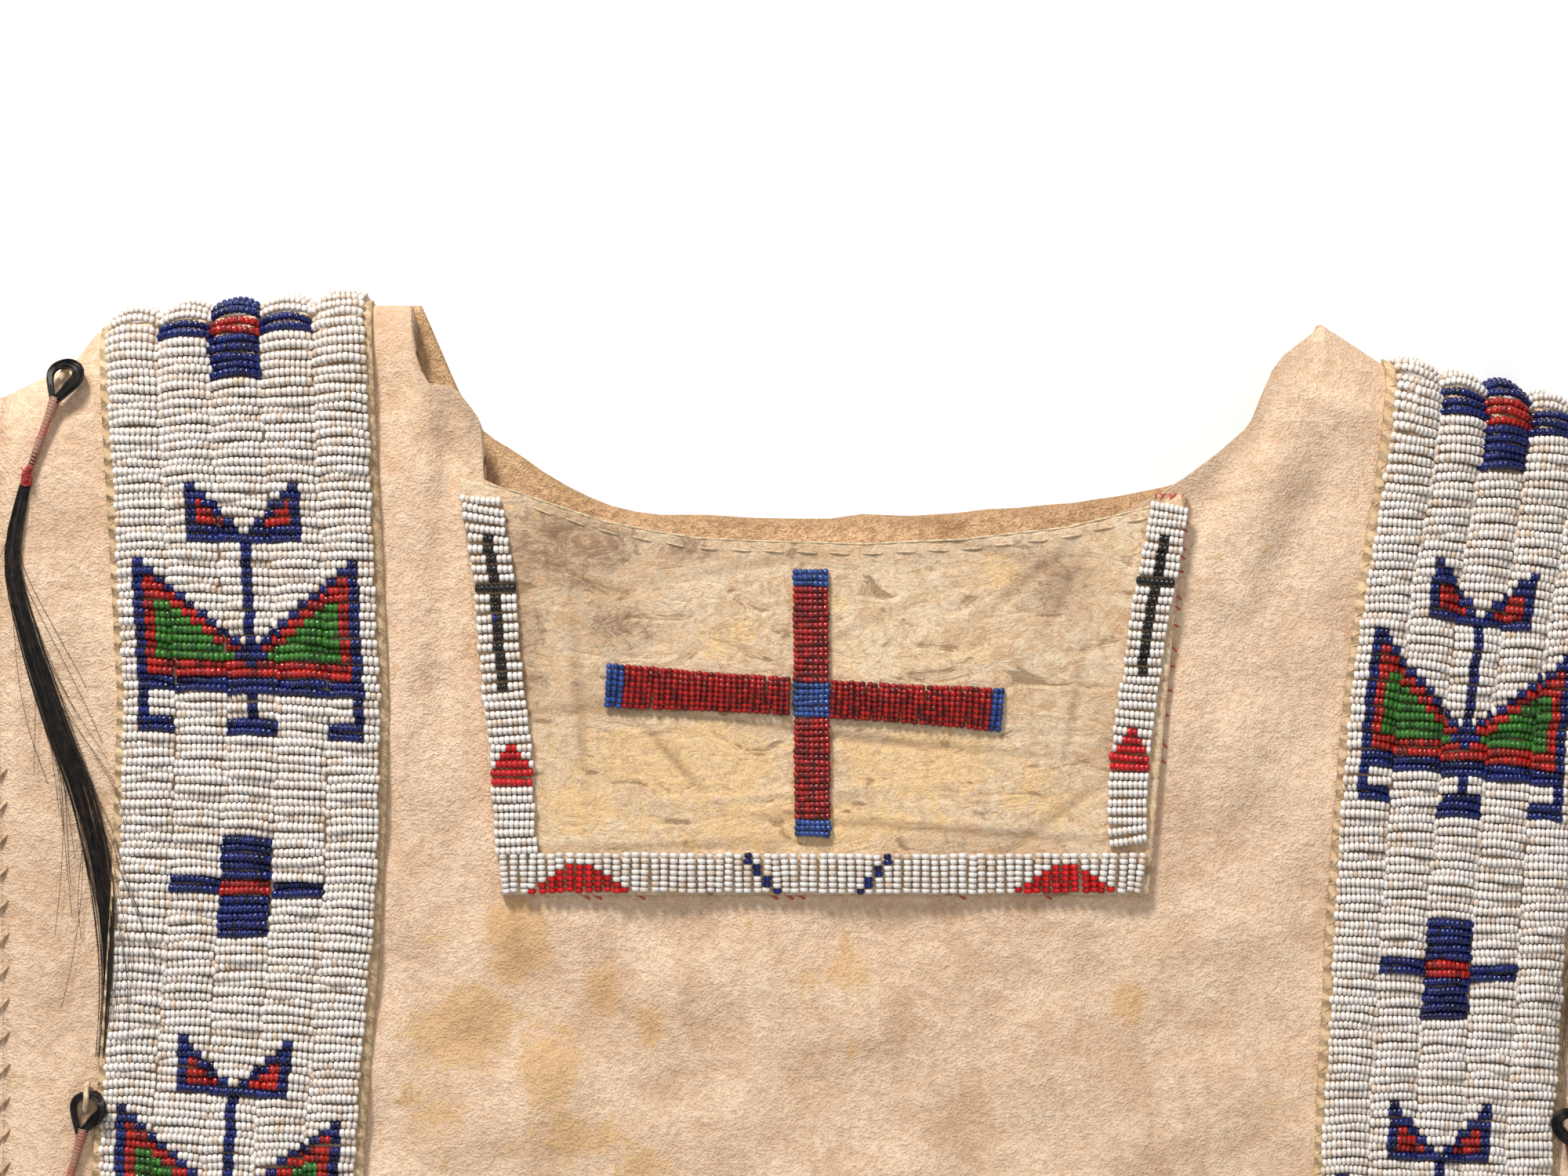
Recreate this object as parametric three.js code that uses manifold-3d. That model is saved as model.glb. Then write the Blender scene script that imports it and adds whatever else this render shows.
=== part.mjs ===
// A plains war shirt of brain-tanned hide, laid flat on its back. X runs across the chest, Y up towards
// the shoulders, Z up out of the cloth, all in millimetres. The shirt is two hides, front and back, with
// a sleeve folded out of a hide at each side, a beaded strip over each shoulder, a beaded bib below
// the neck, and locks of horsehair tied along the outer edges of the strips.
import * as THREE from 'three';
import Module from 'manifold-3d';
import { mergeVertices } from 'three/addons/utils/BufferGeometryUtils.js';

const wasm = await Module();
wasm.setup();

// Driving sizes.
const HIDE = 1.6; // thickness of the body and sleeve hides
const GAP = 0.3; // clearance between sewn or stacked pieces
const LAID_GAP = 0.4; // clearance of what lies on the curved front
const BACK_TOP = HIDE; // the back hide lies on the ground
const SEAM_Z = BACK_TOP + GAP; // where the front hide meets the back at its edges
const ARMHOLE_X = 214; // half the chest width, to the armhole seams
const ARMPIT_Y = -170;
const FLARE_Y = -200; // below here the sides widen towards the hem
const HEM_Y = -620;
const HEM_X = 282; // half the width of the hem
const HEM_DIP = 14; // the hem hangs lower at its middle
const ROLL_DEPTH = 22; // how far the shoulder fold takes to rise
const SHOULDER_RISE = 9; // height of the front over the seam along the shoulders
const NECK_RISE = 5; // the same at the middle of the neck
const NECK_HALF = 105;
const REST_RISE = HIDE + 0.5; // the front far from the shoulders
const FADE_END = 190; // distance from the shoulder where the rise has gone

const SHOULDER_LINE = [
  { x: -214, y: 49 },
  { x: -196, y: 57.5 },
  { x: -190, y: 68 },
  { x: -118, y: 73 },
  { x: -107, y: 72.4 },
  { x: 124, y: 67.4 },
  { x: 136, y: 61.5 },
  { x: 206, y: 47 },
  { x: 214, y: 42 },
];

const FRONT_NECK = [
  { x: -107, y: 72.4 },
  { x: -104.4, y: 53 },
  { x: -97.4, y: 52 },
  { x: -90, y: 40 },
  { x: -86, y: 26 },
  { x: -74, y: 20 },
  { x: -50, y: 13.6 },
  { x: -24, y: 11 },
  { x: 6, y: 10.4 },
  { x: 32, y: 12 },
  { x: 58, y: 15 },
  { x: 80, y: 20.4 },
  { x: 88, y: 27.6 },
  { x: 98, y: 35.6 },
  { x: 106, y: 45 },
  { x: 111, y: 56 },
  { x: 124, y: 67.4 },
];

const BACK_NECK = [
  { x: -107, y: 72.4 },
  { x: -102, y: 62 },
  { x: -97, y: 53 },
  { x: -90, y: 40.4 },
  { x: -74, y: 27 },
  { x: -60, y: 21.4 },
  { x: -44, y: 19 },
  { x: -14, y: 18 },
  { x: 16, y: 18.6 },
  { x: 46, y: 20 },
  { x: 66, y: 22.4 },
  { x: 84, y: 26.4 },
  { x: 97, y: 34.4 },
  { x: 105, y: 43.8 },
  { x: 110, y: 54.8 },
  { x: 122.8, y: 66.2 },
];

// Soft folds of the front hide: each is a ridge, or a trough where rise is negative, with its middle,
// its direction in degrees, half its length and half its width.
const FOLDS = [
  { x: -205, y: -70, turn: 94, length: 80, width: 13, rise: 0.8 },
  { x: 112, y: 28, turn: 60, length: 34, width: 15, rise: 1.2 },
  { x: -88, y: -190, turn: 78, length: 70, width: 24, rise: 1.4 },
  { x: 60, y: -210, turn: 100, length: 80, width: 28, rise: 1.2 },
  { x: -226, y: -345, turn: 70, length: 70, width: 18, rise: 4.2 },
  { x: 226, y: -350, turn: 112, length: 72, width: 18, rise: 4.6 },
  { x: -120, y: -450, turn: 84, length: 105, width: 20, rise: 5.2 },
  { x: -20, y: -500, turn: 92, length: 100, width: 24, rise: 4.0 },
  { x: 86, y: -455, turn: 97, length: 110, width: 19, rise: 5.6 },
  { x: 190, y: -500, turn: 105, length: 90, width: 18, rise: 4.4 },
  { x: -212, y: -500, turn: 76, length: 80, width: 17, rise: 3.8 },
];

const SLEEVE_FOLDS = [
  { x: 268, y: -60, turn: 70, length: 60, width: 13, rise: 4.2 },
  { x: 330, y: -90, turn: 104, length: 55, width: 14, rise: 3.2 },
  { x: 420, y: -70, turn: 78, length: 46, width: 13, rise: 3.6 },
  { x: 505, y: -100, turn: 98, length: 40, width: 12, rise: 2.8 },
];

const radians = THREE.MathUtils.degToRad;

const clamp01 = (v) => Math.min(1, Math.max(0, v));

const smooth = (v) => clamp01(v) ** 2 * (3 - 2 * clamp01(v));

// Height y of a table of points at x, straight between its rows.
function lineAt(table, x) {
  if (x <= table[0].x) return table[0].y;
  for (let k = 1; k < table.length; k += 1) {
    const a = table[k - 1];
    const b = table[k];
    if (x <= b.x) return a.y + ((b.y - a.y) * (x - a.x)) / (b.x - a.x);
  }
  return table[table.length - 1].y;
}

function ridges(table, x, y) {
  let sum = 0;
  for (const f of table) {
    const c = Math.cos(radians(f.turn));
    const s = Math.sin(radians(f.turn));
    const along = ((x - f.x) * c + (y - f.y) * s) / f.length;
    const across = ((y - f.y) * c - (x - f.x) * s) / f.width;
    sum += f.rise * Math.exp(-along * along - across * across);
  }
  return sum;
}

// Half the width of the body at height y.
function bodyHalf(y) {
  if (y >= FLARE_Y) return ARMHOLE_X;
  return ARMHOLE_X + ((HEM_X - ARMHOLE_X) * (FLARE_Y - y)) / (FLARE_Y - HEM_Y);
}

// Rise of a laid hide over its seam, at a distance below the fold along the shoulder.
function rollRise(distance, crest) {
  if (distance < ROLL_DEPTH) {
    const c = 1 - Math.max(0, distance) / ROLL_DEPTH;
    return crest * Math.sqrt(1 - c * c);
  }
  const fade = 1 - smooth((distance - ROLL_DEPTH) / (FADE_END - ROLL_DEPTH));
  return REST_RISE + (crest - REST_RISE) * fade;
}

function crestAt(x) {
  const towardsNeck = 0.5 + 0.5 * Math.cos(Math.PI * Math.min(1, Math.abs(x) / NECK_HALF));
  return SHOULDER_RISE + (NECK_RISE - SHOULDER_RISE) * towardsNeck;
}

// Height of the outer face of the front hide.
function frontZ(x, y) {
  const distance = lineAt(SHOULDER_LINE, x) - y;
  const fromEdges = smooth((bodyHalf(y) - Math.abs(x)) / 16) * smooth((y - HEM_Y) / 24);
  const fromFold = smooth(distance / 30);
  return SEAM_Z + rollRise(distance, crestAt(x)) + ridges(FOLDS, x, y) * fromEdges * fromFold;
}

// Outward direction of a height surface. Just at the fold it is read a little inside.
function outwards(height, x, y, yFold) {
  const step = 0.05;
  const yIn = Math.min(y, yFold - 2 * step);
  const slopeX = (height(x + step, yIn) - height(x - step, yIn)) / (2 * step);
  const slopeY = (height(x, yIn + step) - height(x, yIn - step)) / (2 * step);
  return new THREE.Vector3(-slopeX, -slopeY, 1).normalize();
}

function frontFrame(x, y) {
  return {
    point: new THREE.Vector3(x, y, frontZ(x, y)),
    normal: outwards(frontZ, x, y, lineAt(SHOULDER_LINE, x)),
  };
}

// Rows of the front, as distances below the shoulder on a column that is BODY_LENGTH long.
const BODY_LENGTH = 692;
const ROLL_ANGLES = [0, 20, 40, 60, 75, 90];
const rollRows = ROLL_ANGLES.map((a) => ROLL_DEPTH * (1 - Math.cos(radians(a))));
const STRIP_ROWS = [40, 60, 82, 106, 132, 160, 190, 222, 256, 302];
const LOWER_ROWS = [345, 395, 445, 495, 545, 595, 645, BODY_LENGTH];
const ROWS = [...rollRows, ...STRIP_ROWS, ...LOWER_ROWS];

const topY = (x) =>
  x > FRONT_NECK[0].x && x < FRONT_NECK[FRONT_NECK.length - 1].x ? lineAt(FRONT_NECK, x) : lineAt(SHOULDER_LINE, x);

const hemY = (x) => HEM_Y - HEM_DIP * Math.cos((Math.PI / 2) * (x / ARMHOLE_X));

const rowY = (x, row) => topY(x) - (row / BODY_LENGTH) * (topY(x) - hemY(x));

// Closed geometry from points and triangles, turned so that its faces point out.
function solid(points, triangles) {
  let volume = 0;
  for (const [a, b, c] of triangles) {
    volume += points[a].dot(new THREE.Vector3().crossVectors(points[b], points[c]));
  }
  const faces = volume < 0 ? triangles.map(([a, b, c]) => [a, c, b]) : triangles;
  const geometry = new THREE.BufferGeometry();
  geometry.setAttribute('position', new THREE.Float32BufferAttribute(points.flatMap((p) => p.toArray()), 3));
  geometry.setIndex(faces.flat());
  return geometry;
}

// A wall between two grids of points of the same size, closed all round its rim.
function wall(outer, inner) {
  const rows = outer.length;
  const cols = outer[0].length;
  const points = [...outer.flat(), ...inner.flat()];
  const at = (side, j, i) => side * rows * cols + j * cols + i;
  const triangles = [];
  const quad = (a, b, c, d) => triangles.push([a, b, c], [a, c, d]);
  for (let j = 0; j + 1 < rows; j += 1) {
    for (let i = 0; i + 1 < cols; i += 1) {
      quad(at(0, j, i), at(0, j + 1, i), at(0, j + 1, i + 1), at(0, j, i + 1));
      quad(at(1, j, i), at(1, j, i + 1), at(1, j + 1, i + 1), at(1, j + 1, i));
    }
    quad(at(0, j + 1, 0), at(0, j, 0), at(1, j, 0), at(1, j + 1, 0));
    quad(at(0, j, cols - 1), at(0, j + 1, cols - 1), at(1, j + 1, cols - 1), at(1, j, cols - 1));
  }
  for (let i = 0; i + 1 < cols; i += 1) {
    quad(at(0, 0, i), at(0, 0, i + 1), at(1, 0, i + 1), at(1, 0, i));
    quad(at(0, rows - 1, i + 1), at(0, rows - 1, i), at(1, rows - 1, i), at(1, rows - 1, i + 1));
  }
  return solid(points, triangles);
}

// A tube wall between two stacks of rings, open at both ends.
function tubeWall(outer, inner) {
  const rings = outer.length;
  const sides = outer[0].length;
  const points = [...outer.flat(), ...inner.flat()];
  const at = (side, j, k) => side * rings * sides + j * sides + (k % sides);
  const triangles = [];
  const quad = (a, b, c, d) => triangles.push([a, b, c], [a, c, d]);
  for (let k = 0; k < sides; k += 1) {
    for (let j = 0; j + 1 < rings; j += 1) {
      quad(at(0, j, k), at(0, j, k + 1), at(0, j + 1, k + 1), at(0, j + 1, k));
      quad(at(1, j, k), at(1, j + 1, k), at(1, j + 1, k + 1), at(1, j, k + 1));
    }
    quad(at(0, 0, k + 1), at(0, 0, k), at(1, 0, k), at(1, 0, k + 1));
    const last = rings - 1;
    quad(at(0, last, k), at(0, last, k + 1), at(1, last, k + 1), at(1, last, k));
  }
  return solid(points, triangles);
}

// A solid rod through rings of the same number of points.
function rod(rings) {
  const sides = rings[0].length;
  const points = rings.flat();
  const triangles = [];
  for (let j = 0; j + 1 < rings.length; j += 1) {
    for (let k = 0; k < sides; k += 1) {
      const next = (k + 1) % sides;
      const a = j * sides + k;
      const b = j * sides + next;
      triangles.push([a, b, b + sides], [a, b + sides, a + sides]);
    }
  }
  const last = (rings.length - 1) * sides;
  for (let k = 1; k + 1 < sides; k += 1) {
    triangles.push([0, k + 1, k], [last, last + k, last + k + 1]);
  }
  return solid(points, triangles);
}

const finishes = {
  hide: new THREE.MeshStandardMaterial({ color: 0xd8bb92, roughness: 0.92, metalness: 0 }),
  beads: new THREE.MeshStandardMaterial({ color: 0xe9e4dc, roughness: 0.35, metalness: 0 }),
  wrap: new THREE.MeshStandardMaterial({ color: 0xa5574a, roughness: 0.7, metalness: 0 }),
  hair: new THREE.MeshStandardMaterial({ color: 0x1a1413, roughness: 0.45, metalness: 0 }),
};

const shirt = new THREE.Group();

function addPiece(name, geometry, finish) {
  const mesh = new THREE.Mesh(geometry, finishes[finish]);
  mesh.name = name;
  shirt.add(mesh);
}

// Columns of the front: every corner of the shoulder line and the neck, and some between them.
const BETWEEN = [-178, -166, -154, -142, -130, 150, 164, 178, 192];
const COLUMNS = [...new Set([...SHOULDER_LINE, ...FRONT_NECK].map((p) => p.x).concat(BETWEEN))].sort((a, b) => a - b);

function makeFront() {
  const outer = [];
  const inner = [];
  for (const row of ROWS) {
    const outerRow = [];
    const innerRow = [];
    for (const column of COLUMNS) {
      const y = rowY(column, row);
      const x = (column * bodyHalf(y)) / ARMHOLE_X;
      const { point, normal } = frontFrame(x, y);
      const under = point.clone().addScaledVector(normal, -HIDE);
      under.z = Math.max(under.z, SEAM_Z);
      if (Math.abs(column) === ARMHOLE_X) under.x = x;
      if (point.z < SEAM_Z + 0.001) under.y = Math.min(under.y, y - HIDE);
      outerRow.push(point);
      innerRow.push(under);
    }
    outer.push(outerRow);
    inner.push(innerRow);
  }
  return wall(outer, inner);
}

// The back hide is a flat sheet of its own outline.
function makeBack() {
  const outline = [];
  const left = SHOULDER_LINE.filter((p) => p.x < BACK_NECK[0].x);
  const right = SHOULDER_LINE.filter((p) => p.x > BACK_NECK[BACK_NECK.length - 1].x);
  outline.push(...left, ...BACK_NECK, ...right);
  outline.push({ x: ARMHOLE_X, y: FLARE_Y });
  const hemSteps = 12;
  for (let k = 0; k <= hemSteps; k += 1) {
    const column = ARMHOLE_X * (1 - (2 * k) / hemSteps);
    outline.push({ x: (column * HEM_X) / ARMHOLE_X, y: hemY(column) });
  }
  outline.push({ x: -ARMHOLE_X, y: FLARE_Y });
  const shape = new THREE.Shape(outline.map((p) => new THREE.Vector2(p.x, p.y)));
  return new THREE.ExtrudeGeometry(shape, { depth: HIDE, bevelEnabled: false });
}

// Sleeves. Each is one hide folded along the top of the arm and sewn under it, laid flat.
const SLEEVE_STEPS = 11;
const CUFF = { top: { x: 606, y: -28 }, bottom: { x: 584, y: -182 } };
const SLEEVE_CREST = { armhole: SHOULDER_RISE, cuff: 6 };

function sleeveSection(width, crest, bumps) {
  const floorGrip = 2.2;
  const section = [];
  const put = (q, z, qIn, zIn) => section.push({ q, z, qIn, zIn });
  put(floorGrip, 0, floorGrip, BACK_TOP);
  put(0.4, 0.7, HIDE + 0.2, BACK_TOP + 0.1);
  ROLL_ANGLES.forEach((angle) => {
    const q = ROLL_DEPTH * (1 - Math.cos(radians(angle)));
    const z = SEAM_Z + crest * Math.sin(radians(angle));
    const tilt = Math.atan2(crest * Math.cos(radians(angle)), ROLL_DEPTH * Math.sin(radians(angle)));
    put(q, z, q + HIDE * Math.sin(tilt), Math.max(SEAM_Z, z - HIDE * Math.cos(tilt)));
  });
  const flatEnd = width - 4;
  const spans = 6;
  for (let k = 1; k <= spans; k += 1) {
    const q = ROLL_DEPTH + ((flatEnd - ROLL_DEPTH) * k) / spans;
    const z = SEAM_Z + rollRise(q, crest) + bumps(q / width) * smooth((flatEnd - q) / 12);
    put(q, z, q, z - HIDE);
  }
  put(width, SEAM_Z, width - HIDE, SEAM_Z);
  put(width - 0.6, 0.6, width - HIDE - 0.2, BACK_TOP);
  put(width - floorGrip, 0, width - floorGrip - 0.6, BACK_TOP);
  put(width * 0.66, 0, width * 0.66, BACK_TOP);
  put(width * 0.33, 0, width * 0.33, BACK_TOP);
  return section;
}

function makeSleeve(side) {
  const foldY = side < 0 ? SHOULDER_LINE[0].y : SHOULDER_LINE[SHOULDER_LINE.length - 1].y;
  const start = ARMHOLE_X + GAP;
  const outer = [];
  const inner = [];
  for (let j = 0; j <= SLEEVE_STEPS; j += 1) {
    const t = j / SLEEVE_STEPS;
    const top = new THREE.Vector2(start, foldY).lerp(new THREE.Vector2(CUFF.top.x, CUFF.top.y), t);
    const bottom = new THREE.Vector2(start, ARMPIT_Y).lerp(new THREE.Vector2(CUFF.bottom.x, CUFF.bottom.y), t);
    const width = top.distanceTo(bottom);
    const crest = SLEEVE_CREST.armhole + (SLEEVE_CREST.cuff - SLEEVE_CREST.armhole) * t;
    const place = (q, z) => {
      const p = top.clone().lerp(bottom, q / width);
      return new THREE.Vector3(side * p.x, p.y, z);
    };
    const bumps = (w) => {
      const p = top.clone().lerp(bottom, w);
      return ridges(SLEEVE_FOLDS, p.x, p.y) * smooth(t * 8);
    };
    const section = sleeveSection(width, crest, bumps);
    outer.push(section.map((s) => place(s.q, s.z)));
    inner.push(section.map((s) => place(s.qIn, s.zIn)));
  }
  return tubeWall(outer, inner);
}

// Shoulder strips. A band of hide carries five lanes of beads, each crowned over its threads.
const STRIP_HIDE = 1.2;
const STRIP_MARGIN = 2;
const LANES = 5;
const LANE_WIDTH = 12.4;
const BEAD_LOW = 1.7; // beadwork over the strip's hide between lanes
const BEAD_HIGH = 2.9; // and at the crown of a lane
const STRIPS = [
  {
    name: 'shoulder_strip_left',
    middle: [
      { x: 158, y: -156.5 },
      { x: 140, y: -155.6 },
      { x: 76, y: -151 },
      { x: 30, y: -149 },
      { x: -10, y: -150.6 },
      { x: -74, y: -154 },
    ],
  },
  {
    name: 'shoulder_strip_right',
    middle: [
      { x: 158, y: 152.4 },
      { x: 140, y: 153 },
      { x: 86, y: 155.6 },
      { x: 36, y: 159 },
      { x: 2, y: 163 },
      { x: -42, y: 170 },
    ],
  },
];

// Across a strip: the place of each column and the height of the strip there over its own underside.
function stripProfile() {
  const half = (LANES * LANE_WIDTH) / 2;
  const profile = [
    { u: -half - STRIP_MARGIN, rise: STRIP_HIDE },
    { u: -half - 0.2, rise: STRIP_HIDE },
  ];
  for (let lane = 0; lane < LANES; lane += 1) {
    const left = -half + lane * LANE_WIDTH;
    profile.push({ u: left, rise: STRIP_HIDE + BEAD_LOW });
    profile.push({ u: left + 0.3 * LANE_WIDTH, rise: STRIP_HIDE + BEAD_HIGH });
    profile.push({ u: left + 0.7 * LANE_WIDTH, rise: STRIP_HIDE + BEAD_HIGH });
  }
  profile.push({ u: half, rise: STRIP_HIDE + BEAD_LOW });
  profile.push({ u: half + 0.2, rise: STRIP_HIDE });
  profile.push({ u: half + STRIP_MARGIN, rise: STRIP_HIDE });
  return profile;
}

// The strip's rows are the front's own, and one more where it turns down over the shoulder seam.
function makeStrip(strip) {
  const middleAt = (y) => lineAt(strip.middle.map((p) => ({ x: p.x, y: p.y })).sort((a, b) => a.x - b.x), -y);
  const rows = [...rollRows, ...STRIP_ROWS];
  const outer = [];
  const inner = [];
  const addRow = (row, drop) => {
    const outerRow = [];
    const innerRow = [];
    for (const { u, rise } of stripProfile()) {
      let x = middleAt(0) + u;
      for (let k = 0; k < 4; k += 1) x = middleAt(rowY(x, row)) + u;
      const { point, normal } = frontFrame(x, rowY(x, row));
      if (drop > 0) {
        point.z -= drop;
        normal.set(0, 1, 0);
      }
      outerRow.push(point.clone().addScaledVector(normal, LAID_GAP + rise));
      innerRow.push(point.clone().addScaledVector(normal, LAID_GAP));
    }
    outer.push(outerRow);
    inner.push(innerRow);
  };
  addRow(0, SEAM_Z - GAP);
  rows.forEach((row) => addRow(row, 0));
  return wall(outer, inner);
}

// The bib, a stiff piece of hide with a beaded border on three sides and a beaded cross.
const BIB_HIDE = 1.4;
const BIB_BEADS = 1.6;
const BORDER_WIDTH = 11;
const BIB_TOP = [
  { x: -96.4, y: 28.6 },
  { x: -86, y: 25.4 },
  { x: -74, y: 20.4 },
  { x: -50, y: 14 },
  { x: -24, y: 11.4 },
  { x: 6, y: 10.8 },
  { x: 32, y: 12.4 },
  { x: 58, y: 15.4 },
  { x: 80, y: 21 },
  { x: 88.4, y: 24.6 },
];
const BIB_BOTTOM = { left: -86, right: 79, y: -78.4 };
const CROSS = { left: -59.6, right: 41, top: 4, bottom: -63.6, armTop: -24.6, armBottom: -33.4, stemLeft: -11.4, stemRight: -2.4 };

function bibX(u, y) {
  const t = (BIB_TOP[0].y - y) / (BIB_TOP[0].y - BIB_BOTTOM.y);
  const left = BIB_TOP[0].x + (BIB_BOTTOM.left - BIB_TOP[0].x) * t;
  const rightTop = BIB_TOP[BIB_TOP.length - 1];
  const right = rightTop.x + (BIB_BOTTOM.right - rightTop.x) * t;
  return left + (right - left) * u;
}

function makeBib() {
  const step = 0.5;
  const span = BIB_BOTTOM.right - BIB_BOTTOM.left;
  const share = (x) => (x - BIB_BOTTOM.left) / span;
  const cross = (x, shift) => share(x + shift + 1.4);
  const border = BORDER_WIDTH / span;
  const edge = step / span;
  const columns = [
    { u: 0, kind: 'border' },
    { u: border - edge, kind: 'border' },
    { u: border, kind: 'plain' },
    { u: cross(CROSS.left, -step), kind: 'plain' },
    { u: cross(CROSS.left, 0), kind: 'arm' },
    { u: cross(CROSS.left + 24, 0), kind: 'arm' },
    { u: cross(CROSS.stemLeft, -step), kind: 'arm' },
    { u: cross(CROSS.stemLeft, 0), kind: 'stem' },
    { u: cross(CROSS.stemRight, 0), kind: 'stem' },
    { u: cross(CROSS.stemRight, step), kind: 'arm' },
    { u: cross(CROSS.right - 22, 0), kind: 'arm' },
    { u: cross(CROSS.right, 0), kind: 'arm' },
    { u: cross(CROSS.right, step), kind: 'plain' },
    { u: 1 - border, kind: 'plain' },
    { u: 1 - border + edge, kind: 'border' },
    { u: 1, kind: 'border' },
  ];
  const borderTop = BIB_BOTTOM.y + BORDER_WIDTH;
  const rows = [
    { y: null, kind: 'plain' },
    { y: CROSS.top + step, kind: 'plain' },
    { y: CROSS.top, kind: 'stem' },
    { y: CROSS.armTop + 13, kind: 'stem' },
    { y: CROSS.armTop + step, kind: 'stem' },
    { y: CROSS.armTop, kind: 'arm' },
    { y: CROSS.armBottom, kind: 'arm' },
    { y: CROSS.armBottom - step, kind: 'stem' },
    { y: CROSS.bottom + 13, kind: 'stem' },
    { y: CROSS.bottom, kind: 'stem' },
    { y: CROSS.bottom - step, kind: 'plain' },
    { y: borderTop, kind: 'plain' },
    { y: borderTop - step, kind: 'border' },
    { y: BIB_BOTTOM.y, kind: 'border' },
  ];
  const raised = (row, column) =>
    row.kind === 'border' ||
    column.kind === 'border' ||
    (column.kind === 'stem' && row.kind !== 'plain') ||
    (column.kind === 'arm' && row.kind === 'arm');
  const outer = [];
  const inner = [];
  for (const row of rows) {
    const outerRow = [];
    const innerRow = [];
    for (const column of columns) {
      let y = row.y;
      if (y === null) {
        y = BIB_TOP[0].y;
        for (let k = 0; k < 6; k += 1) y = lineAt(BIB_TOP, bibX(column.u, y));
      }
      const { point, normal } = frontFrame(bibX(column.u, y), y);
      const rise = BIB_HIDE + (raised(row, column) ? BIB_BEADS : 0);
      outerRow.push(point.clone().addScaledVector(normal, LAID_GAP + rise));
      innerRow.push(point.clone().addScaledVector(normal, LAID_GAP));
    }
    outer.push(outerRow);
    inner.push(innerRow);
  }
  return wall(outer, inner);
}

// Horsehair locks. Each is folded into a loop at its thong, wrapped with red quill below the loop, and
// hangs free from there. The route is given in steps from the loop, down the shirt.
const LOCK_ROUTE = [
  { x: 0, y: 0 },
  { x: -4, y: -9 },
  { x: -8, y: -19 },
  { x: -11.6, y: -29 },
  { x: -14.6, y: -46 },
  { x: -11.6, y: -66 },
  { x: -5.4, y: -86 },
  { x: 1.4, y: -106 },
  { x: 5, y: -128 },
  { x: 5.6, y: -150 },
  { x: 4.4, y: -172 },
];
const WRAP_POINTS = 4;
const WRAP_RADIUS = 2.4;
const STRANDS = 5;
const STRAND_PITCH = 1.75;
const STRAND_HALF = 0.65;

// Bow and swing say how much of the route's way out from the strip, and back over it, a lock takes.
const LOCKS = [
  { name: 'left_upper', x: -196, y: 52, side: 1, bow: 1, swing: 1 },
  { name: 'left_lower', x: -193.4, y: -129, side: 1, bow: 0.8, swing: 0 },
  { name: 'right_upper', x: 208, y: 35, side: -1, bow: 0.1, swing: 1.6 },
  { name: 'right_lower', x: 191, y: -135, side: -1, bow: 0.6, swing: 0 },
];

// A ring of points round a place of a lock's route, square to its direction on the shirt.
function ring(place, direction, sides, halfWidth, halfHeight) {
  const across = new THREE.Vector3(-direction.y, direction.x, 0).normalize();
  const points = [];
  for (let k = 0; k < sides; k += 1) {
    const a = (2 * Math.PI * (k + 0.5)) / sides;
    const p = place.clone().addScaledVector(across, halfWidth * Math.cos(a));
    p.z += halfHeight * Math.sin(a);
    points.push(p);
  }
  return points;
}

const asManifold = (geometry) => {
  const merged = mergeVertices(geometry);
  return new wasm.Manifold(
    new wasm.Mesh({
      numProp: 3,
      vertProperties: new Float32Array(merged.attributes.position.array),
      triVerts: new Uint32Array(merged.index.array),
    }),
  );
};

function fromManifold(body) {
  const mesh = body.getMesh();
  const geometry = new THREE.BufferGeometry();
  geometry.setAttribute('position', new THREE.BufferAttribute(new Float32Array(mesh.vertProperties), 3));
  geometry.setIndex(new THREE.BufferAttribute(new Uint32Array(mesh.triVerts), 1));
  return geometry;
}

const HAIR_CLEARANCE = 0.6;

// Height at which hair lies: over the highest part of the front close round it.
function hairZ(x, y) {
  const reach = 3;
  const around = [-reach, 0, reach].flatMap((dx) => [-reach, 0, reach].map((dy) => frontZ(x + dx, y + dy)));
  return Math.max(...around) + HAIR_CLEARANCE;
}

function onFront(lock, step) {
  const x = lock.x + lock.side * step.x * (step.x < 0 ? lock.bow : lock.swing);
  const y = lock.y + step.y;
  return new THREE.Vector3(x, y, hairZ(x, y));
}

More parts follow.
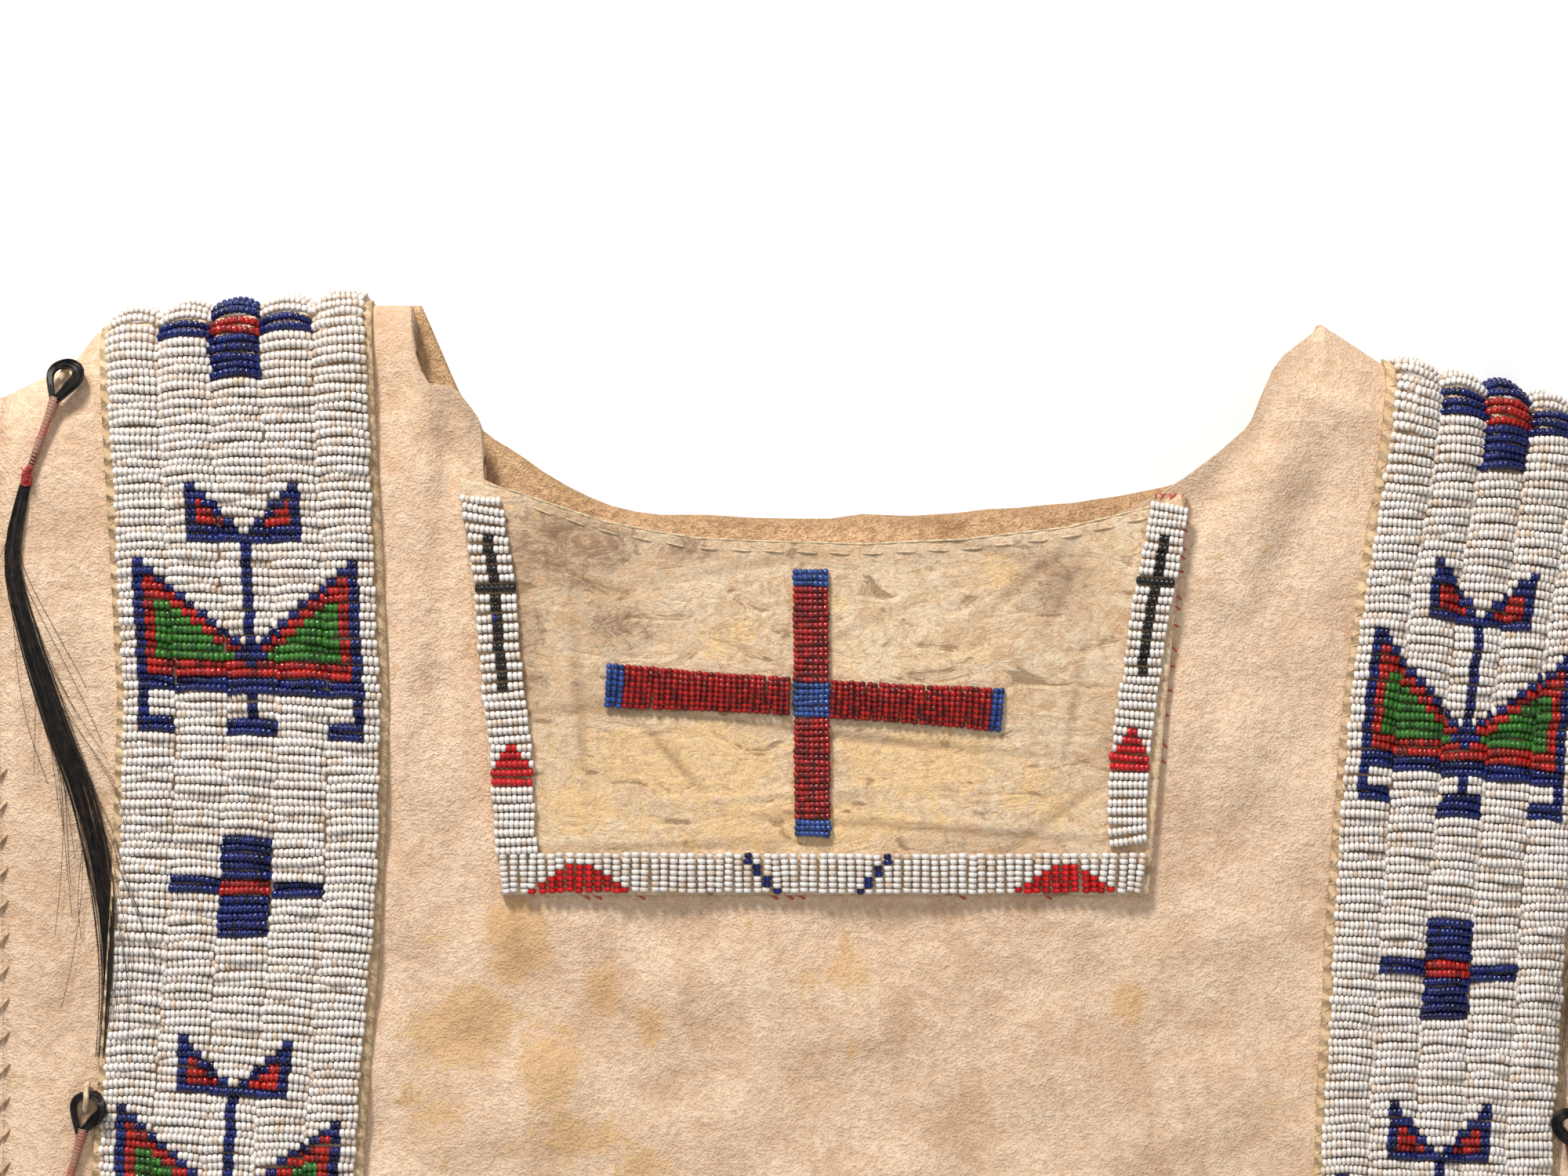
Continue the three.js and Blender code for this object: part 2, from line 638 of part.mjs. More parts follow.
function makeLock(lock) {
  const curve = new THREE.CatmullRomCurve3(LOCK_ROUTE.map((step) => onFront(lock, step)));
  const wrapRings = [];
  for (let k = 0; k < WRAP_POINTS; k += 1) {
    const t = k / (LOCK_ROUTE.length - 1);
    const place = curve.getPoint(t);
    place.z += WRAP_RADIUS;
    const radius = WRAP_RADIUS * (1 - 0.12 * k);
    wrapRings.push(ring(place, curve.getTangent(t), 8, radius, radius));
  }
  addPiece(`hair_wrap_${lock.name}`, rod(wrapRings), 'wrap');

  const start = (WRAP_POINTS - 1) / (LOCK_ROUTE.length - 1) + 0.004;
  const steps = 8;
  const collar = [0, 0.02].map((d) => {
    const place = curve.getPoint(start + d);
    place.z += STRAND_HALF;
    return ring(place, curve.getTangent(start + d), 6, STRANDS * 0.42, STRAND_HALF * 1.3);
  });
  let hair = asManifold(rod(collar));
  for (let s = 0; s < STRANDS; s += 1) {
    const offset = s - (STRANDS - 1) / 2;
    const reach = 1 - 0.06 * Math.abs(offset);
    const rings = [];
    for (let k = 0; k <= steps; k += 1) {
      const t = start + 0.01 + (1 - start - 0.01) * reach * (k / steps);
      const spread = 0.34 + 0.66 * smooth(k / 3);
      const direction = curve.getTangent(t);
      const across = new THREE.Vector3(-direction.y, direction.x, 0).normalize();
      const place = curve.getPoint(t).addScaledVector(across, offset * STRAND_PITCH * spread);
      place.z = hairZ(place.x, place.y) + STRAND_HALF;
      const half = STRAND_HALF * (1 - 0.6 * (k / steps));
      rings.push(ring(place, direction, 4, half, half));
    }
    hair = hair.add(asManifold(rod(rings)));
  }
  addPiece(`hair_lock_${lock.name}`, fromManifold(hair), 'hair');
}

addPiece('front_hide', makeFront(), 'hide');
addPiece('back_hide', makeBack(), 'hide');
addPiece('sleeve_left', makeSleeve(-1), 'hide');
addPiece('sleeve_right', makeSleeve(1), 'hide');
STRIPS.forEach((strip) => addPiece(strip.name, makeStrip(strip), 'beads'));
addPiece('bib', makeBib(), 'hide');
LOCKS.forEach(makeLock);

// The shirt stands on its middle: the origin is under the middle of its whole box.
const box = new THREE.Box3().setFromObject(shirt);
const centre = box.getCenter(new THREE.Vector3());
shirt.position.set(-centre.x, -centre.y, -box.min.z);

export default shirt;
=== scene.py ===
import math

import bpy
import numpy as np
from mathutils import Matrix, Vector


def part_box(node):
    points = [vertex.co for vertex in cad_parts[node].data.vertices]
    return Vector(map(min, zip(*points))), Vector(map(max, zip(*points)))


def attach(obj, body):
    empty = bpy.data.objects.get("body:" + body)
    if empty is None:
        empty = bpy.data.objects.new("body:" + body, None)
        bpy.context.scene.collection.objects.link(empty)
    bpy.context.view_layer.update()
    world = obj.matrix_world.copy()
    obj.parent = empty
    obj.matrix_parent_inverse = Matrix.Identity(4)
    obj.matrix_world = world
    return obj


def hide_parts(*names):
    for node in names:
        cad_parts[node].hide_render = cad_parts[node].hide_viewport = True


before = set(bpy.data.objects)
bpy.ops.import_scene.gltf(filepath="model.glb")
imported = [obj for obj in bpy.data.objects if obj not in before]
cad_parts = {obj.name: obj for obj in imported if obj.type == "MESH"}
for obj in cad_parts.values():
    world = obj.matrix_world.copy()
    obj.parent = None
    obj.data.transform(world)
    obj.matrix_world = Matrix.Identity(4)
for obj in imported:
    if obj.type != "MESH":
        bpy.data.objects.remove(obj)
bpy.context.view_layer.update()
rng = np.random.default_rng(11)

# The ground, the light and the view. The shirt lies on a plain pale surface and is seen from straight
# above, at the distance that gives the picture a width of 400 mm. Sizes of the shirt are in millimetres
# from here on, measured from a point at the middle of the chest, and MM and SHIFT bring them into the frame.
MM = 0.001
HEM_WIDTH = 564.0
HEM_LOWEST = -634.0
back_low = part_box("back_hide")[0]
SHIFT = np.array([back_low.x + HEM_WIDTH / 2 * MM, back_low.y - HEM_LOWEST * MM, 0.0])

VIEW_CENTRE = (-14.0, 0.0)
VIEW_WIDTH = 400.0
SENSOR = 36.0
LENS = 85.0
CLOTH_LEVEL = 7.0


def in_frame(points):
    """Points of the shirt, in millimetres, as points of the frame in metres."""
    return np.asarray(points, float) * MM + SHIFT


camera_data = bpy.data.cameras.new("camera")
camera_data.sensor_width = SENSOR
camera_data.lens = LENS
camera = bpy.data.objects.new("camera", camera_data)
bpy.context.scene.collection.objects.link(camera)
camera.location = in_frame((*VIEW_CENTRE, CLOTH_LEVEL + VIEW_WIDTH * LENS / SENSOR))
bpy.context.scene.camera = camera

LIGHTS = [
    # name, place in metres from the view's centre, size, power, colour
    ("key", (-0.55, 1.35, 0.95), 0.35, 38.0, (1.0, 0.99, 0.97)),
    ("fill", (0.35, -1.35, 1.1), 0.6, 4.4, (0.98, 0.99, 1.0)),
    ("overhead", (0.1, 0.3, 1.7), 0.8, 4.6, (1.0, 1.0, 1.0)),
]
aim = in_frame((*VIEW_CENTRE, 0.0))
for name, place, size, power, colour in LIGHTS:
    light_data = bpy.data.lights.new(name, "AREA")
    light_data.size = size
    light_data.energy = power
    light_data.color = colour
    light = bpy.data.objects.new(name, light_data)
    bpy.context.scene.collection.objects.link(light)
    light.location = aim + np.array(place)
    light.rotation_euler = (Vector(aim) - light.location).to_track_quat("-Z", "Y").to_euler()
    light.visible_camera = False

world = bpy.data.worlds.new("studio")
bpy.context.scene.world = world
world.use_nodes = True
background = world.node_tree.nodes["Background"].inputs
background["Color"].default_value = (0.95, 0.97, 1.0, 1.0)
background["Strength"].default_value = 0.26
bpy.context.scene.view_settings.view_transform = "Standard"

bpy.ops.object.select_all(action="DESELECT")
bpy.ops.mesh.primitive_plane_add(size=8.0, location=(0.0, 0.0, 0.0))
ground = bpy.context.object
ground.name = "ground"


class Link:
    """One output in a material's nodes. Sums written on it add their Math nodes."""

    def __init__(self, tree, socket):
        self.tree = tree
        self.socket = socket

    def sum(self, operation, a, b):
        return node(self.tree, "ShaderNodeMath", {"operation": operation}, {0: a, 1: b})

    def __add__(self, other):
        return self.sum("ADD", self, other)

    def __sub__(self, other):
        return self.sum("SUBTRACT", self, other)

    def __rsub__(self, other):
        return self.sum("SUBTRACT", other, self)

    def __mul__(self, other):
        return self.sum("MULTIPLY", self, other)

    __radd__ = __add__
    __rmul__ = __mul__

    def between(self, low, high):
        """0 below low and 1 above high, with a soft step from one to the other."""
        settings = {"interpolation_type": "SMOOTHSTEP"}
        values = {"Value": self, "From Min": low, "From Max": high}
        return node(self.tree, "ShaderNodeMapRange", settings, values)


def node(tree, kind, settings, values, output=0):
    """A node with its settings, and the values or links of its sockets, as a link from one output."""
    made = tree.nodes.new(kind)
    for key, value in settings.items():
        setattr(made, key, value)
    for key, value in values.items():
        if isinstance(value, Link):
            tree.links.new(value.socket, made.inputs[key])
        else:
            made.inputs[key].default_value = value
    return Link(tree, made.outputs[output])


def mix(factor, a, b):
    """Colour a where factor is 0 and colour b where it is 1."""
    a, b = (part if isinstance(part, Link) else (*part, 1.0) for part in (a, b))
    return node(factor.tree, "ShaderNodeMix", {"data_type": "RGBA"}, {0: factor, 6: a, 7: b}, output=2)


def material(name, **sockets):
    """A new material, its tree and its surface shader, with plain numbers set on the shader."""
    made = bpy.data.materials.new(name)
    made.use_nodes = True
    surface = made.node_tree.nodes["Principled BSDF"]
    for key, value in sockets.items():
        surface.inputs[key.replace("_", " ")].default_value = value
    return made, made.node_tree, surface


def feed(tree, surface, socket, link):
    tree.links.new(link.socket, surface.inputs[socket])


def places(tree):
    """Object coordinates, in metres of the frame."""
    return node(tree, "ShaderNodeTexCoord", {}, {}, output="Object")


def noise(tree, vector, scale, detail=3.0, rough=0.55, swirl=0.0):
    values = {"Vector": vector, "Scale": scale, "Detail": detail, "Roughness": rough, "Distortion": swirl}
    return node(tree, "ShaderNodeTexNoise", {"noise_dimensions": "3D"}, values, output="Fac")


def bump(tree, height, strength, distance):
    values = {"Strength": strength, "Distance": distance, "Height": height}
    return node(tree, "ShaderNodeBump", {}, values, output="Normal")


paper, paper_tree, paper_surface = material("pale_paper", Roughness=0.9)
grain = noise(paper_tree, places(paper_tree), 30.0)
feed(paper_tree, paper_surface, "Base Color", mix(grain, (0.94, 0.94, 0.94), (0.96, 0.96, 0.96)))
ground.data.materials.append(paper)


# The front hide. One piece of brain-tanned hide, 1.6 mm thick, laid over the back hide: it rises from the
# shoulder fold, drops softly down the chest and lies in long folds lower down. The neck is cut out of it.
HIDE = 1.6
GAP = 0.3
SEAM_Z = HIDE + GAP
ARMHOLE_X = 214.0
ARMPIT_Y = -170.0
FLARE_Y = -200.0
HEM_Y = -620.0
HEM_DIP = 14.0
ROLL_DEPTH = 22.0
SHOULDER_RISE = 9.0
NECK_RISE = 5.0
NECK_HALF = 105.0
REST_RISE = HIDE + 0.5
FADE_END = 190.0
BODY_LENGTH = 692.0

# x and y of the corners of the line along both shoulders
SHOULDER_LINE = np.array([
    (-214, 49), (-196, 57.5), (-190, 65.4), (-180, 66.5), (-153, 68.6), (-128, 70.3), (-118, 72.5),
    (-107, 72.4), (124, 67.4), (136, 59.5), (146, 53), (159, 50), (170, 47.5), (181, 44.5), (203, 40.5),
    (214, 41),
])
# x and y along the cut of the neck in the front, and in the back
FRONT_NECK = np.array([
    (-109.4, 72.4), (-108.8, 66.6), (-108.4, 61.6), (-106.8, 55.8), (-104.2, 52), (-101.4, 51.6),
    (-99, 51.4), (-96.2, 49.2), (-93.6, 46), (-91.8, 43), (-91.2, 40), (-90.8, 34), (-90.2, 27.6),
    (-86, 25.6), (-74, 21.2), (-60, 16.6), (-48, 14.2), (-24, 11.6), (6, 10.8), (32, 12), (58, 15),
    (70, 18.4), (76, 21.2), (82, 24.2), (88, 28.2), (96, 34.2), (103.2, 40.4), (106, 44.6),
    (107.6, 48.8), (110, 55.2), (113, 59.2), (119, 63.8), (124, 67.4),
])
BACK_NECK = np.array([
    (-107, 72.4), (-104.4, 66.5), (-101.8, 60.4), (-99.4, 54.8), (-97.4, 50.4), (-94.4, 45.6),
    (-91.2, 40.4), (-88.4, 38.2), (-84.4, 35.8), (-80.4, 33.2), (-76, 30), (-70, 26.4), (-64, 23.4),
    (-58, 21), (-52, 19.6), (-46, 18.8), (-34, 18.8), (-22, 18), (-10, 17.8), (-2, 17.8), (6, 19),
    (18, 18.5), (30, 19.2), (38, 20.2), (46, 20.6), (54, 21.4), (60, 21.8), (66, 22.8), (72, 23.6),
    (78, 24.8), (83, 25.8), (88, 27.2), (96, 33), (103, 39), (106, 43), (108, 48), (110.6, 54),
    (113.6, 58), (119, 62.6), (122.8, 66),
])
# x and y of the middle, direction in degrees, half length, half width and rise of each fold of the front
FOLDS = [
    (-205, -70, 94, 80, 13, 0.8), (112, 28, 60, 34, 15, 1.2), (-88, -190, 78, 70, 24, 1.4),
    (60, -210, 100, 80, 28, 1.2), (-226, -345, 70, 70, 18, 4.2), (226, -350, 112, 72, 18, 4.6),
    (-120, -450, 84, 105, 20, 5.2), (-20, -500, 92, 100, 24, 4.0), (86, -455, 97, 110, 19, 5.6),
    (190, -500, 105, 90, 18, 4.4), (-212, -500, 76, 80, 17, 3.8),
]
# the same for the creases that are too small for the folds
CREASES = [
    (136.4, 49.6, -32, 5.5, 1.3, -6.5), (133.6, 54, -34, 8, 3.0, 3.4), (131, 45, -28, 8, 3.4, 2.0),
    (128, 34, -14, 13, 2.4, -0.7), (122, 40, -20, 12, 3.4, 0.6), (124, 60, 20, 4, 1.4, -0.7),
    (118, 18, 68, 22, 4.0, -0.8), (126, -6, 80, 26, 5.0, 0.6), (-99.4, 33.5, -60, 8, 2.2, -1.9),
    (-94.6, 38, -82, 12, 1.7, 1.0), (-112.5, 46, 84, 24, 4.6, -1.6), (-104.5, 40, 100, 16, 4.4, 1.1),
    (-117, 20, 82, 40, 6.0, 0.9), (-101.5, 6, 88, 34, 3.0, -0.9), (-99, -44, 92, 34, 3.2, -0.8),
    (-110, -20, 86, 44, 5.0, 0.7), (93, 20, 66, 26, 3.6, -1.0), (96, -30, 82, 40, 4.0, -0.7),
    (104, 6, 74, 40, 6.0, 0.9), (110, 44, 60, 14, 3.6, -0.8), (116, 52, 50, 12, 3.4, 0.8),
    (-205, 22, 58, 20, 4.0, 0.6), (-198, -118, 30, 9, 1.6, -0.6), (-206, -96, -40, 11, 1.8, -0.5),
    (-204, -126, 52, 12, 1.6, 0.5), (-116, -140, -35, 18, 2.0, -0.5), (-96, -128, -50, 14, 2.2, 0.4),
    (30, -104, 8, 50, 9.0, 0.5), (92, -110, 76, 40, 7.0, 0.5),
]


def ease(v):
    v = np.clip(v, 0.0, 1.0)
    return v * v * (3 - 2 * v)


def line_at(table, x):
    return np.interp(x, table[:, 0], table[:, 1])


def ridges(table, x, y):
    total = np.zeros(np.broadcast(x, y).shape)
    for mid_x, mid_y, turn, length, width, rise in table:
        c, s = math.cos(math.radians(turn)), math.sin(math.radians(turn))
        along = ((x - mid_x) * c + (y - mid_y) * s) / length
        across = ((y - mid_y) * c - (x - mid_x) * s) / width
        total = total + rise * np.exp(-along * along - across * across)
    return total


def body_half(y):
    return ARMHOLE_X + (HEM_WIDTH / 2 - ARMHOLE_X) * np.clip((FLARE_Y - y) / (FLARE_Y - HEM_Y), 0, 1.2)


def roll_rise(distance, crest):
    c = 1 - np.clip(distance, 0, ROLL_DEPTH) / ROLL_DEPTH
    rolled = crest * np.sqrt(1 - c * c)
    fade = 1 - ease((distance - ROLL_DEPTH) / (FADE_END - ROLL_DEPTH))
    return np.where(distance < ROLL_DEPTH, rolled, REST_RISE + (crest - REST_RISE) * fade)


def crest_at(x):
    at_neck = 0.5 + 0.5 * np.cos(np.pi * np.clip(abs(x) / NECK_HALF, 0, 1))
    return SHOULDER_RISE + (NECK_RISE - SHOULDER_RISE) * at_neck


def front_z(x, y):
    distance = line_at(SHOULDER_LINE, x) - y
    from_edges = ease((body_half(y) - abs(x)) / 16) * ease((y - HEM_Y) / 24)
    folds = ridges(FOLDS, x, y) * from_edges * ease(distance / 30)
    return SEAM_Z + roll_rise(distance, crest_at(x)) + folds


# Soft waves all over a hide: length in mm, direction in degrees and height of each.
WAVES = [
    (61, 20, 0.38), (47, 75, 0.38), (38, 130, 0.34), (29, 48, 0.26), (23, 160, 0.20), (17, 95, 0.15),
    (13, 10, 0.10), (11, 62, 0.075), (9, 118, 0.055),
]
wave_starts = rng.uniform(0, 2 * np.pi, len(WAVES))


def soft_waves(x, y):
    total = 0.0
    for (length, turn, height), start in zip(WAVES, wave_starts):
        along = x * math.cos(math.radians(turn)) + y * math.sin(math.radians(turn))
        total = total + height * np.sin(2 * np.pi * along / length + start + 0.8 * np.sin(y / 31 + start))
    return total


def worn_front_z(x, y):
    """The front with its creases and waves, which fade at its seams and under what is sewn on it."""
    distance = line_at(SHOULDER_LINE, x) - y
    from_edges = ease((body_half(y) - abs(x)) / 14) * ease((y - HEM_Y) / 20) * ease(distance / 26)
    return front_z(x, y) + (ridges(CREASES, x, y) + soft_waves(x, y)) * from_edges * (1 - sewn_over(x, y))


def normals_of(points):
    """Directions square to a grid of points, by its own steps along rows and columns."""
    down = np.gradient(points, axis=0)
    right = np.gradient(points, axis=1)
    square = np.cross(right, -down)
    return square / np.maximum(np.linalg.norm(square, axis=-1, keepdims=True), 1e-9)


def mesh_object(name, points, *face_sets):
    """An object from points in shirt millimetres and arrays of faces, each array with faces of one size."""
    mesh = bpy.data.meshes.new(name)
    co = in_frame(points).astype(np.float32)
    mesh.vertices.add(len(co))
    mesh.vertices.foreach_set("co", co.ravel())
    totals = np.concatenate([np.full(len(f), f.shape[1]) for f in face_sets])
    loops = np.concatenate([f.ravel() for f in face_sets])
    mesh.loops.add(len(loops))
    mesh.loops.foreach_set("vertex_index", loops.astype(np.int32))
    mesh.polygons.add(len(totals))
    mesh.polygons.foreach_set("loop_start", np.concatenate([[0], np.cumsum(totals)[:-1]]).astype(np.int32))
    mesh.polygons.foreach_set("loop_total", totals.astype(np.int32))
    mesh.update(calc_edges=True)
    mesh.validate()
    mesh.shade_smooth()
    made = bpy.data.objects.new(name, mesh)
    bpy.context.scene.collection.objects.link(made)
    return made


def grid_quads(rows, cols, start=0):
    """Quads of a grid whose rows run down and whose columns run right, facing up."""
    a = start + np.arange(rows - 1)[:, None] * cols + np.arange(cols - 1)[None, :]
    return np.stack([a, a + cols, a + cols + 1, a + 1], axis=-1).reshape(-1, 4)


def wall_object(name, outer, inner):
    """A closed wall between two grids of points of the same size."""
    rows, cols = outer.shape[:2]
    count = rows * cols
    top = grid_quads(rows, cols)
    under = grid_quads(rows, cols, count)[:, ::-1]
    i = np.arange(cols - 1)
    j = np.arange(rows - 1) * cols
    last = (rows - 1) * cols
    rims = [
        np.stack([i, i + 1, i + 1 + count, i + count], axis=-1),
        np.stack([last + i + 1, last + i, last + i + count, last + i + 1 + count], axis=-1),
        np.stack([j + cols, j, j + count, j + cols + count], axis=-1),
        np.stack([j + cols - 1, j + 2 * cols - 1, j + 2 * cols - 1 + count, j + cols - 1 + count], axis=-1),
    ]
    points = np.concatenate([outer.reshape(-1, 3), inner.reshape(-1, 3)])
    return mesh_object(name, points, top, under, *rims)


def hem_y(column):
    return HEM_Y - HEM_DIP * np.cos(np.pi / 2 * column / ARMHOLE_X)


def hide_grid(neck, columns, rows):
    """Places on a body hide: columns across it, and rows as distances from its top edge down."""
    in_neck = (columns > neck[0, 0]) & (columns < neck[-1, 0])
    top = np.where(in_neck, line_at(neck, columns), line_at(SHOULDER_LINE, columns))
    y = top[None, :] - rows[:, None] / BODY_LENGTH * (top - hem_y(columns))[None, :]
    return columns[None, :] * body_half(y) / ARMHOLE_X, y


# Where something is sewn on the front, it lies as the solid under it does: 1 there and 0 elsewhere.
STRIP_MIDDLES = {
    # y and x along the middle of each shoulder strip
    "left": np.array([(-158, -156.5), (-140, -155.6), (-76, -151), (-30, -149), (10, -150.6), (74, -154)]),
    "right": np.array([(-158, 152.4), (-140, 153), (-86, 155.6), (-36, 159), (-2, 163), (42, 170)]),
}
STRIP_HALF = 33.0
STRIP_SHARES = {"left": 1.0, "right": 0.9}
STRIP_END_Y = -234.0


def sewn_over(x, y):
    cover = ease((abs(x + 7) - 94) / -5) * ease((y + 84) / 6) * ease((32 - y) / 5)
    for side, middle in STRIP_MIDDLES.items():
        aside = abs(x - np.interp(y, middle[:, 0], middle[:, 1]))
        half = STRIP_HALF * STRIP_SHARES[side] + 2
        cover = np.maximum(cover, ease((half - aside) / 5) * ease((y - STRIP_END_Y) / 8))
    return cover


# Columns are closer at the neck's two corners and at the crease beside the right strip, and rows are closer
# over the fold and down the chest.
columns = np.unique(np.concatenate([
    np.linspace(-ARMHOLE_X, ARMHOLE_X, 92), np.linspace(-108, -84, 20), np.linspace(86, 125, 22),
    np.linspace(126.2, 142, 13), SHOULDER_LINE[:, 0], FRONT_NECK[:, 0],
]))
roll_rows = ROLL_DEPTH * (1 - np.cos(np.radians(np.linspace(0, 90, 11))))
chest_rows = np.arange(25, 228, 3.7)
low_rows = np.arange(232, BODY_LENGTH - 4, 12.0)
front_rows = np.concatenate([roll_rows, chest_rows, low_rows, [BODY_LENGTH]])
front_x, front_y = hide_grid(FRONT_NECK, columns, front_rows)
front_top = np.stack([front_x, front_y, worn_front_z(front_x, front_y)], axis=-1)
front_out = normals_of(front_top)
on_fold = (line_at(SHOULDER_LINE, front_x[0]) - front_y[0]) < 0.01
front_out[0, on_fold] = (0.0, 1.0, 0.0)
front_under = front_top - front_out * HIDE
front_under[..., 2] = np.maximum(front_under[..., 2], SEAM_Z)
front_hide = wall_object("front_hide_cloth", front_top, front_under)

# x, y, half width, half height and strength of the old stains on the front
STAINS = [
    (-82, -90, 9, 13, 1.0), (-96, -112, 16, 12, 0.9), (-74, -122, 10, 14, 0.8), (-60, -102, 6, 9, 0.8),
    (-48, -112, 4, 6, 0.9), (-24, -88, 7, 12, 0.45), (-8, -100, 6, 14, 0.5), (2, -96, 7, 10, 0.7),
    (-68, -140, 20, 8, 0.7), (-52, -148, 12, 8, 0.7), (-104, -136, 12, 16, 0.5), (80, -92, 7, 9, 0.5),
    (74, -106, 6, 9, 0.75), (4, -118, 3, 5, 0.6), (60, -98, 5, 8, 0.35), (30, -138, 10, 9, 0.35),
    (-50, -164, 26, 14, 0.8), (64, -170, 22, 12, 0.6), (-110, -200, 16, 20, 0.6),
    (12, -220, 30, 18, 0.6), (94, 2, 2, 2, 0.7), (-104, -88, 8, 10, 0.4), (110, -136, 9, 14, 0.35),
    (-200, -92, 4, 4, 0.5), (-60, -330, 26, 18, 0.5), (110, -390, 30, 24, 0.5),
    (-150, -560, 40, 18, 0.5), (150, -590, 44, 14, 0.5),
]


def paint(made, name, values):
    """Stores one number for each point of a mesh, for its material."""
    attribute = made.data.attributes.new(name, "FLOAT", "POINT")
    attribute.data.foreach_set("value", np.asarray(values, np.float32).ravel())


def paint_faces(made, name, values):
    """The same number on both faces of a wall, for each place of its grid."""
    paint(made, name, np.stack([values, values]))


def painted(tree, name):
    return node(tree, "ShaderNodeAttribute", {"attribute_name": name}, {}, output="Fac")


def blots(table, x, y):
    total = np.zeros(x.shape)
    for mid_x, mid_y, half_x, half_y, strength in table:
        away = ((x - mid_x) / half_x) ** 2 + ((y - mid_y) / half_y) ** 2
        total = np.maximum(total, strength * np.exp(-away))
    return total


# the same for grey-brown blots: soil of handling, and painted shade such as the shadow beside the fold
# left of the bib
SOIL_AND_SHADE_BLOTS = [
    (118, 26, 13, 11, 0.75), (104, 58, 9, 8, 0.6), (126, 4, 8, 15, 0.45), (110, -20, 10, 18, 0.35),
    (-101, 28, 5, 20, 0.5), (-121, 58, 9, 12, 0.25), (-111, 58, 6, 9, 0.3), (-204, 28, 14, 30, 0.45),
    (-98, -62, 5, 32, 0.3), (93, -70, 6, 26, 0.3), (18, -130, 22, 8, 0.35), (-22, -128, 15, 9, 0.35),
    (62, -142, 22, 9, 0.4), (-92, -142, 22, 10, 0.4), (102, -112, 12, 18, 0.3), (-202, -60, 8, 30, 0.25),
    (0, -92, 50, 6, 0.25),
]
stain = blots(STAINS, front_x, front_y)
# soil: real soil along the neck and the shoulder fold, and the blots above, which are partly painted shade
soil = np.exp(-((front_y - line_at(FRONT_NECK, front_x)) / 9) ** 2) * (abs(front_x) < 120)
soil = np.maximum(soil, 0.6 * np.exp(-((line_at(SHOULDER_LINE, front_x) - front_y) / 7) ** 2))
soil = np.maximum(soil, blots(SOIL_AND_SHADE_BLOTS, front_x, front_y))
paint_faces(front_hide, "stain", stain)
paint_faces(front_hide, "soil", soil)


def hide_material(name, tones, nap=1.0):
    """Napped hide: a tone that wanders slowly, a short swirled nap, and old stains with darker cores."""
    light, mid, dark, stained, core, soiled = tones
    made, tree, surface = material(name, Roughness=0.9)
    surface.inputs["Sheen Weight"].default_value = 0.01
    surface.inputs["Sheen Roughness"].default_value = 0.6
    surface.inputs["Specular IOR Level"].default_value = 0.1
    at = places(tree)
    broad = noise(tree, at, 13.0, 3.0, 0.6)
    cloud = noise(tree, at, 55.0, 5.0, 0.65)
    patch = noise(tree, at, 150.0, 5.0, 0.7, 0.6)
    speck = noise(tree, at, 520.0, 4.0, 0.65, 0.2)
    fibre = noise(tree, at, 1700.0, 2.0, 0.5, 0.2)
    tone = mix((broad * 0.55 + cloud * 0.6).between(0.36, 0.72), dark, mid)
    tone = mix((cloud * 0.5 + patch * 0.6).between(0.42, 0.74), tone, light)
    marks = painted(tree, "stain") + (patch - 0.5) * 1.5 + (speck - 0.5) * 0.5
    spots = (patch * 0.75 + cloud * 0.5).between(0.735, 0.80) * 0.5
    spread = (marks - 0.1).between(0.22, 0.50) * 0.75
    tone = mix(spots, tone, stained)
    tone = mix(spread, tone, stained)
    tone = mix((marks - 0.1).between(0.58, 1.05) * 0.55, tone, core)
    # soil, which on the front also carries painted shade beside its folds
    worn = (painted(tree, "soil") + (patch - 0.5) * 1.1).between(0.12, 1.05)
    tone = mix(worn * 0.6, tone, soiled)
    pits = 1.0 - (speck * 0.55 + fibre * 0.45).between(0.42, 0.56)
    tone = mix(pits * (0.33 * nap), tone, core)
    feed(tree, surface, "Base Color", tone)
    height = fibre * 0.4 + speck * 0.36 + patch * 0.34 + cloud * 1.5
    feed(tree, surface, "Normal", bump(tree, height, 0.8, 0.0014))
    return made


# Tones of each side of the hide: light, middle, dark, stained, in the cores of stains and pits, and soiled,
# which on the front also stands for painted shade.
NAPPED_TONES = (
    (0.92, 0.70, 0.505), (0.84, 0.585, 0.40), (0.66, 0.43, 0.27),
    (0.72, 0.44, 0.20), (0.40, 0.235, 0.12), (0.54, 0.38, 0.26),
)
FLESH_TONES = (
    (0.90, 0.60, 0.35), (0.74, 0.47, 0.25), (0.50, 0.30, 0.155),
    (0.42, 0.23, 0.11), (0.28, 0.16, 0.085), (0.34, 0.19, 0.10),
)
hide = hide_material("brain_tanned_hide", NAPPED_TONES)
front_hide.data.materials.append(hide)
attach(front_hide, "root")
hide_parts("front_hide")


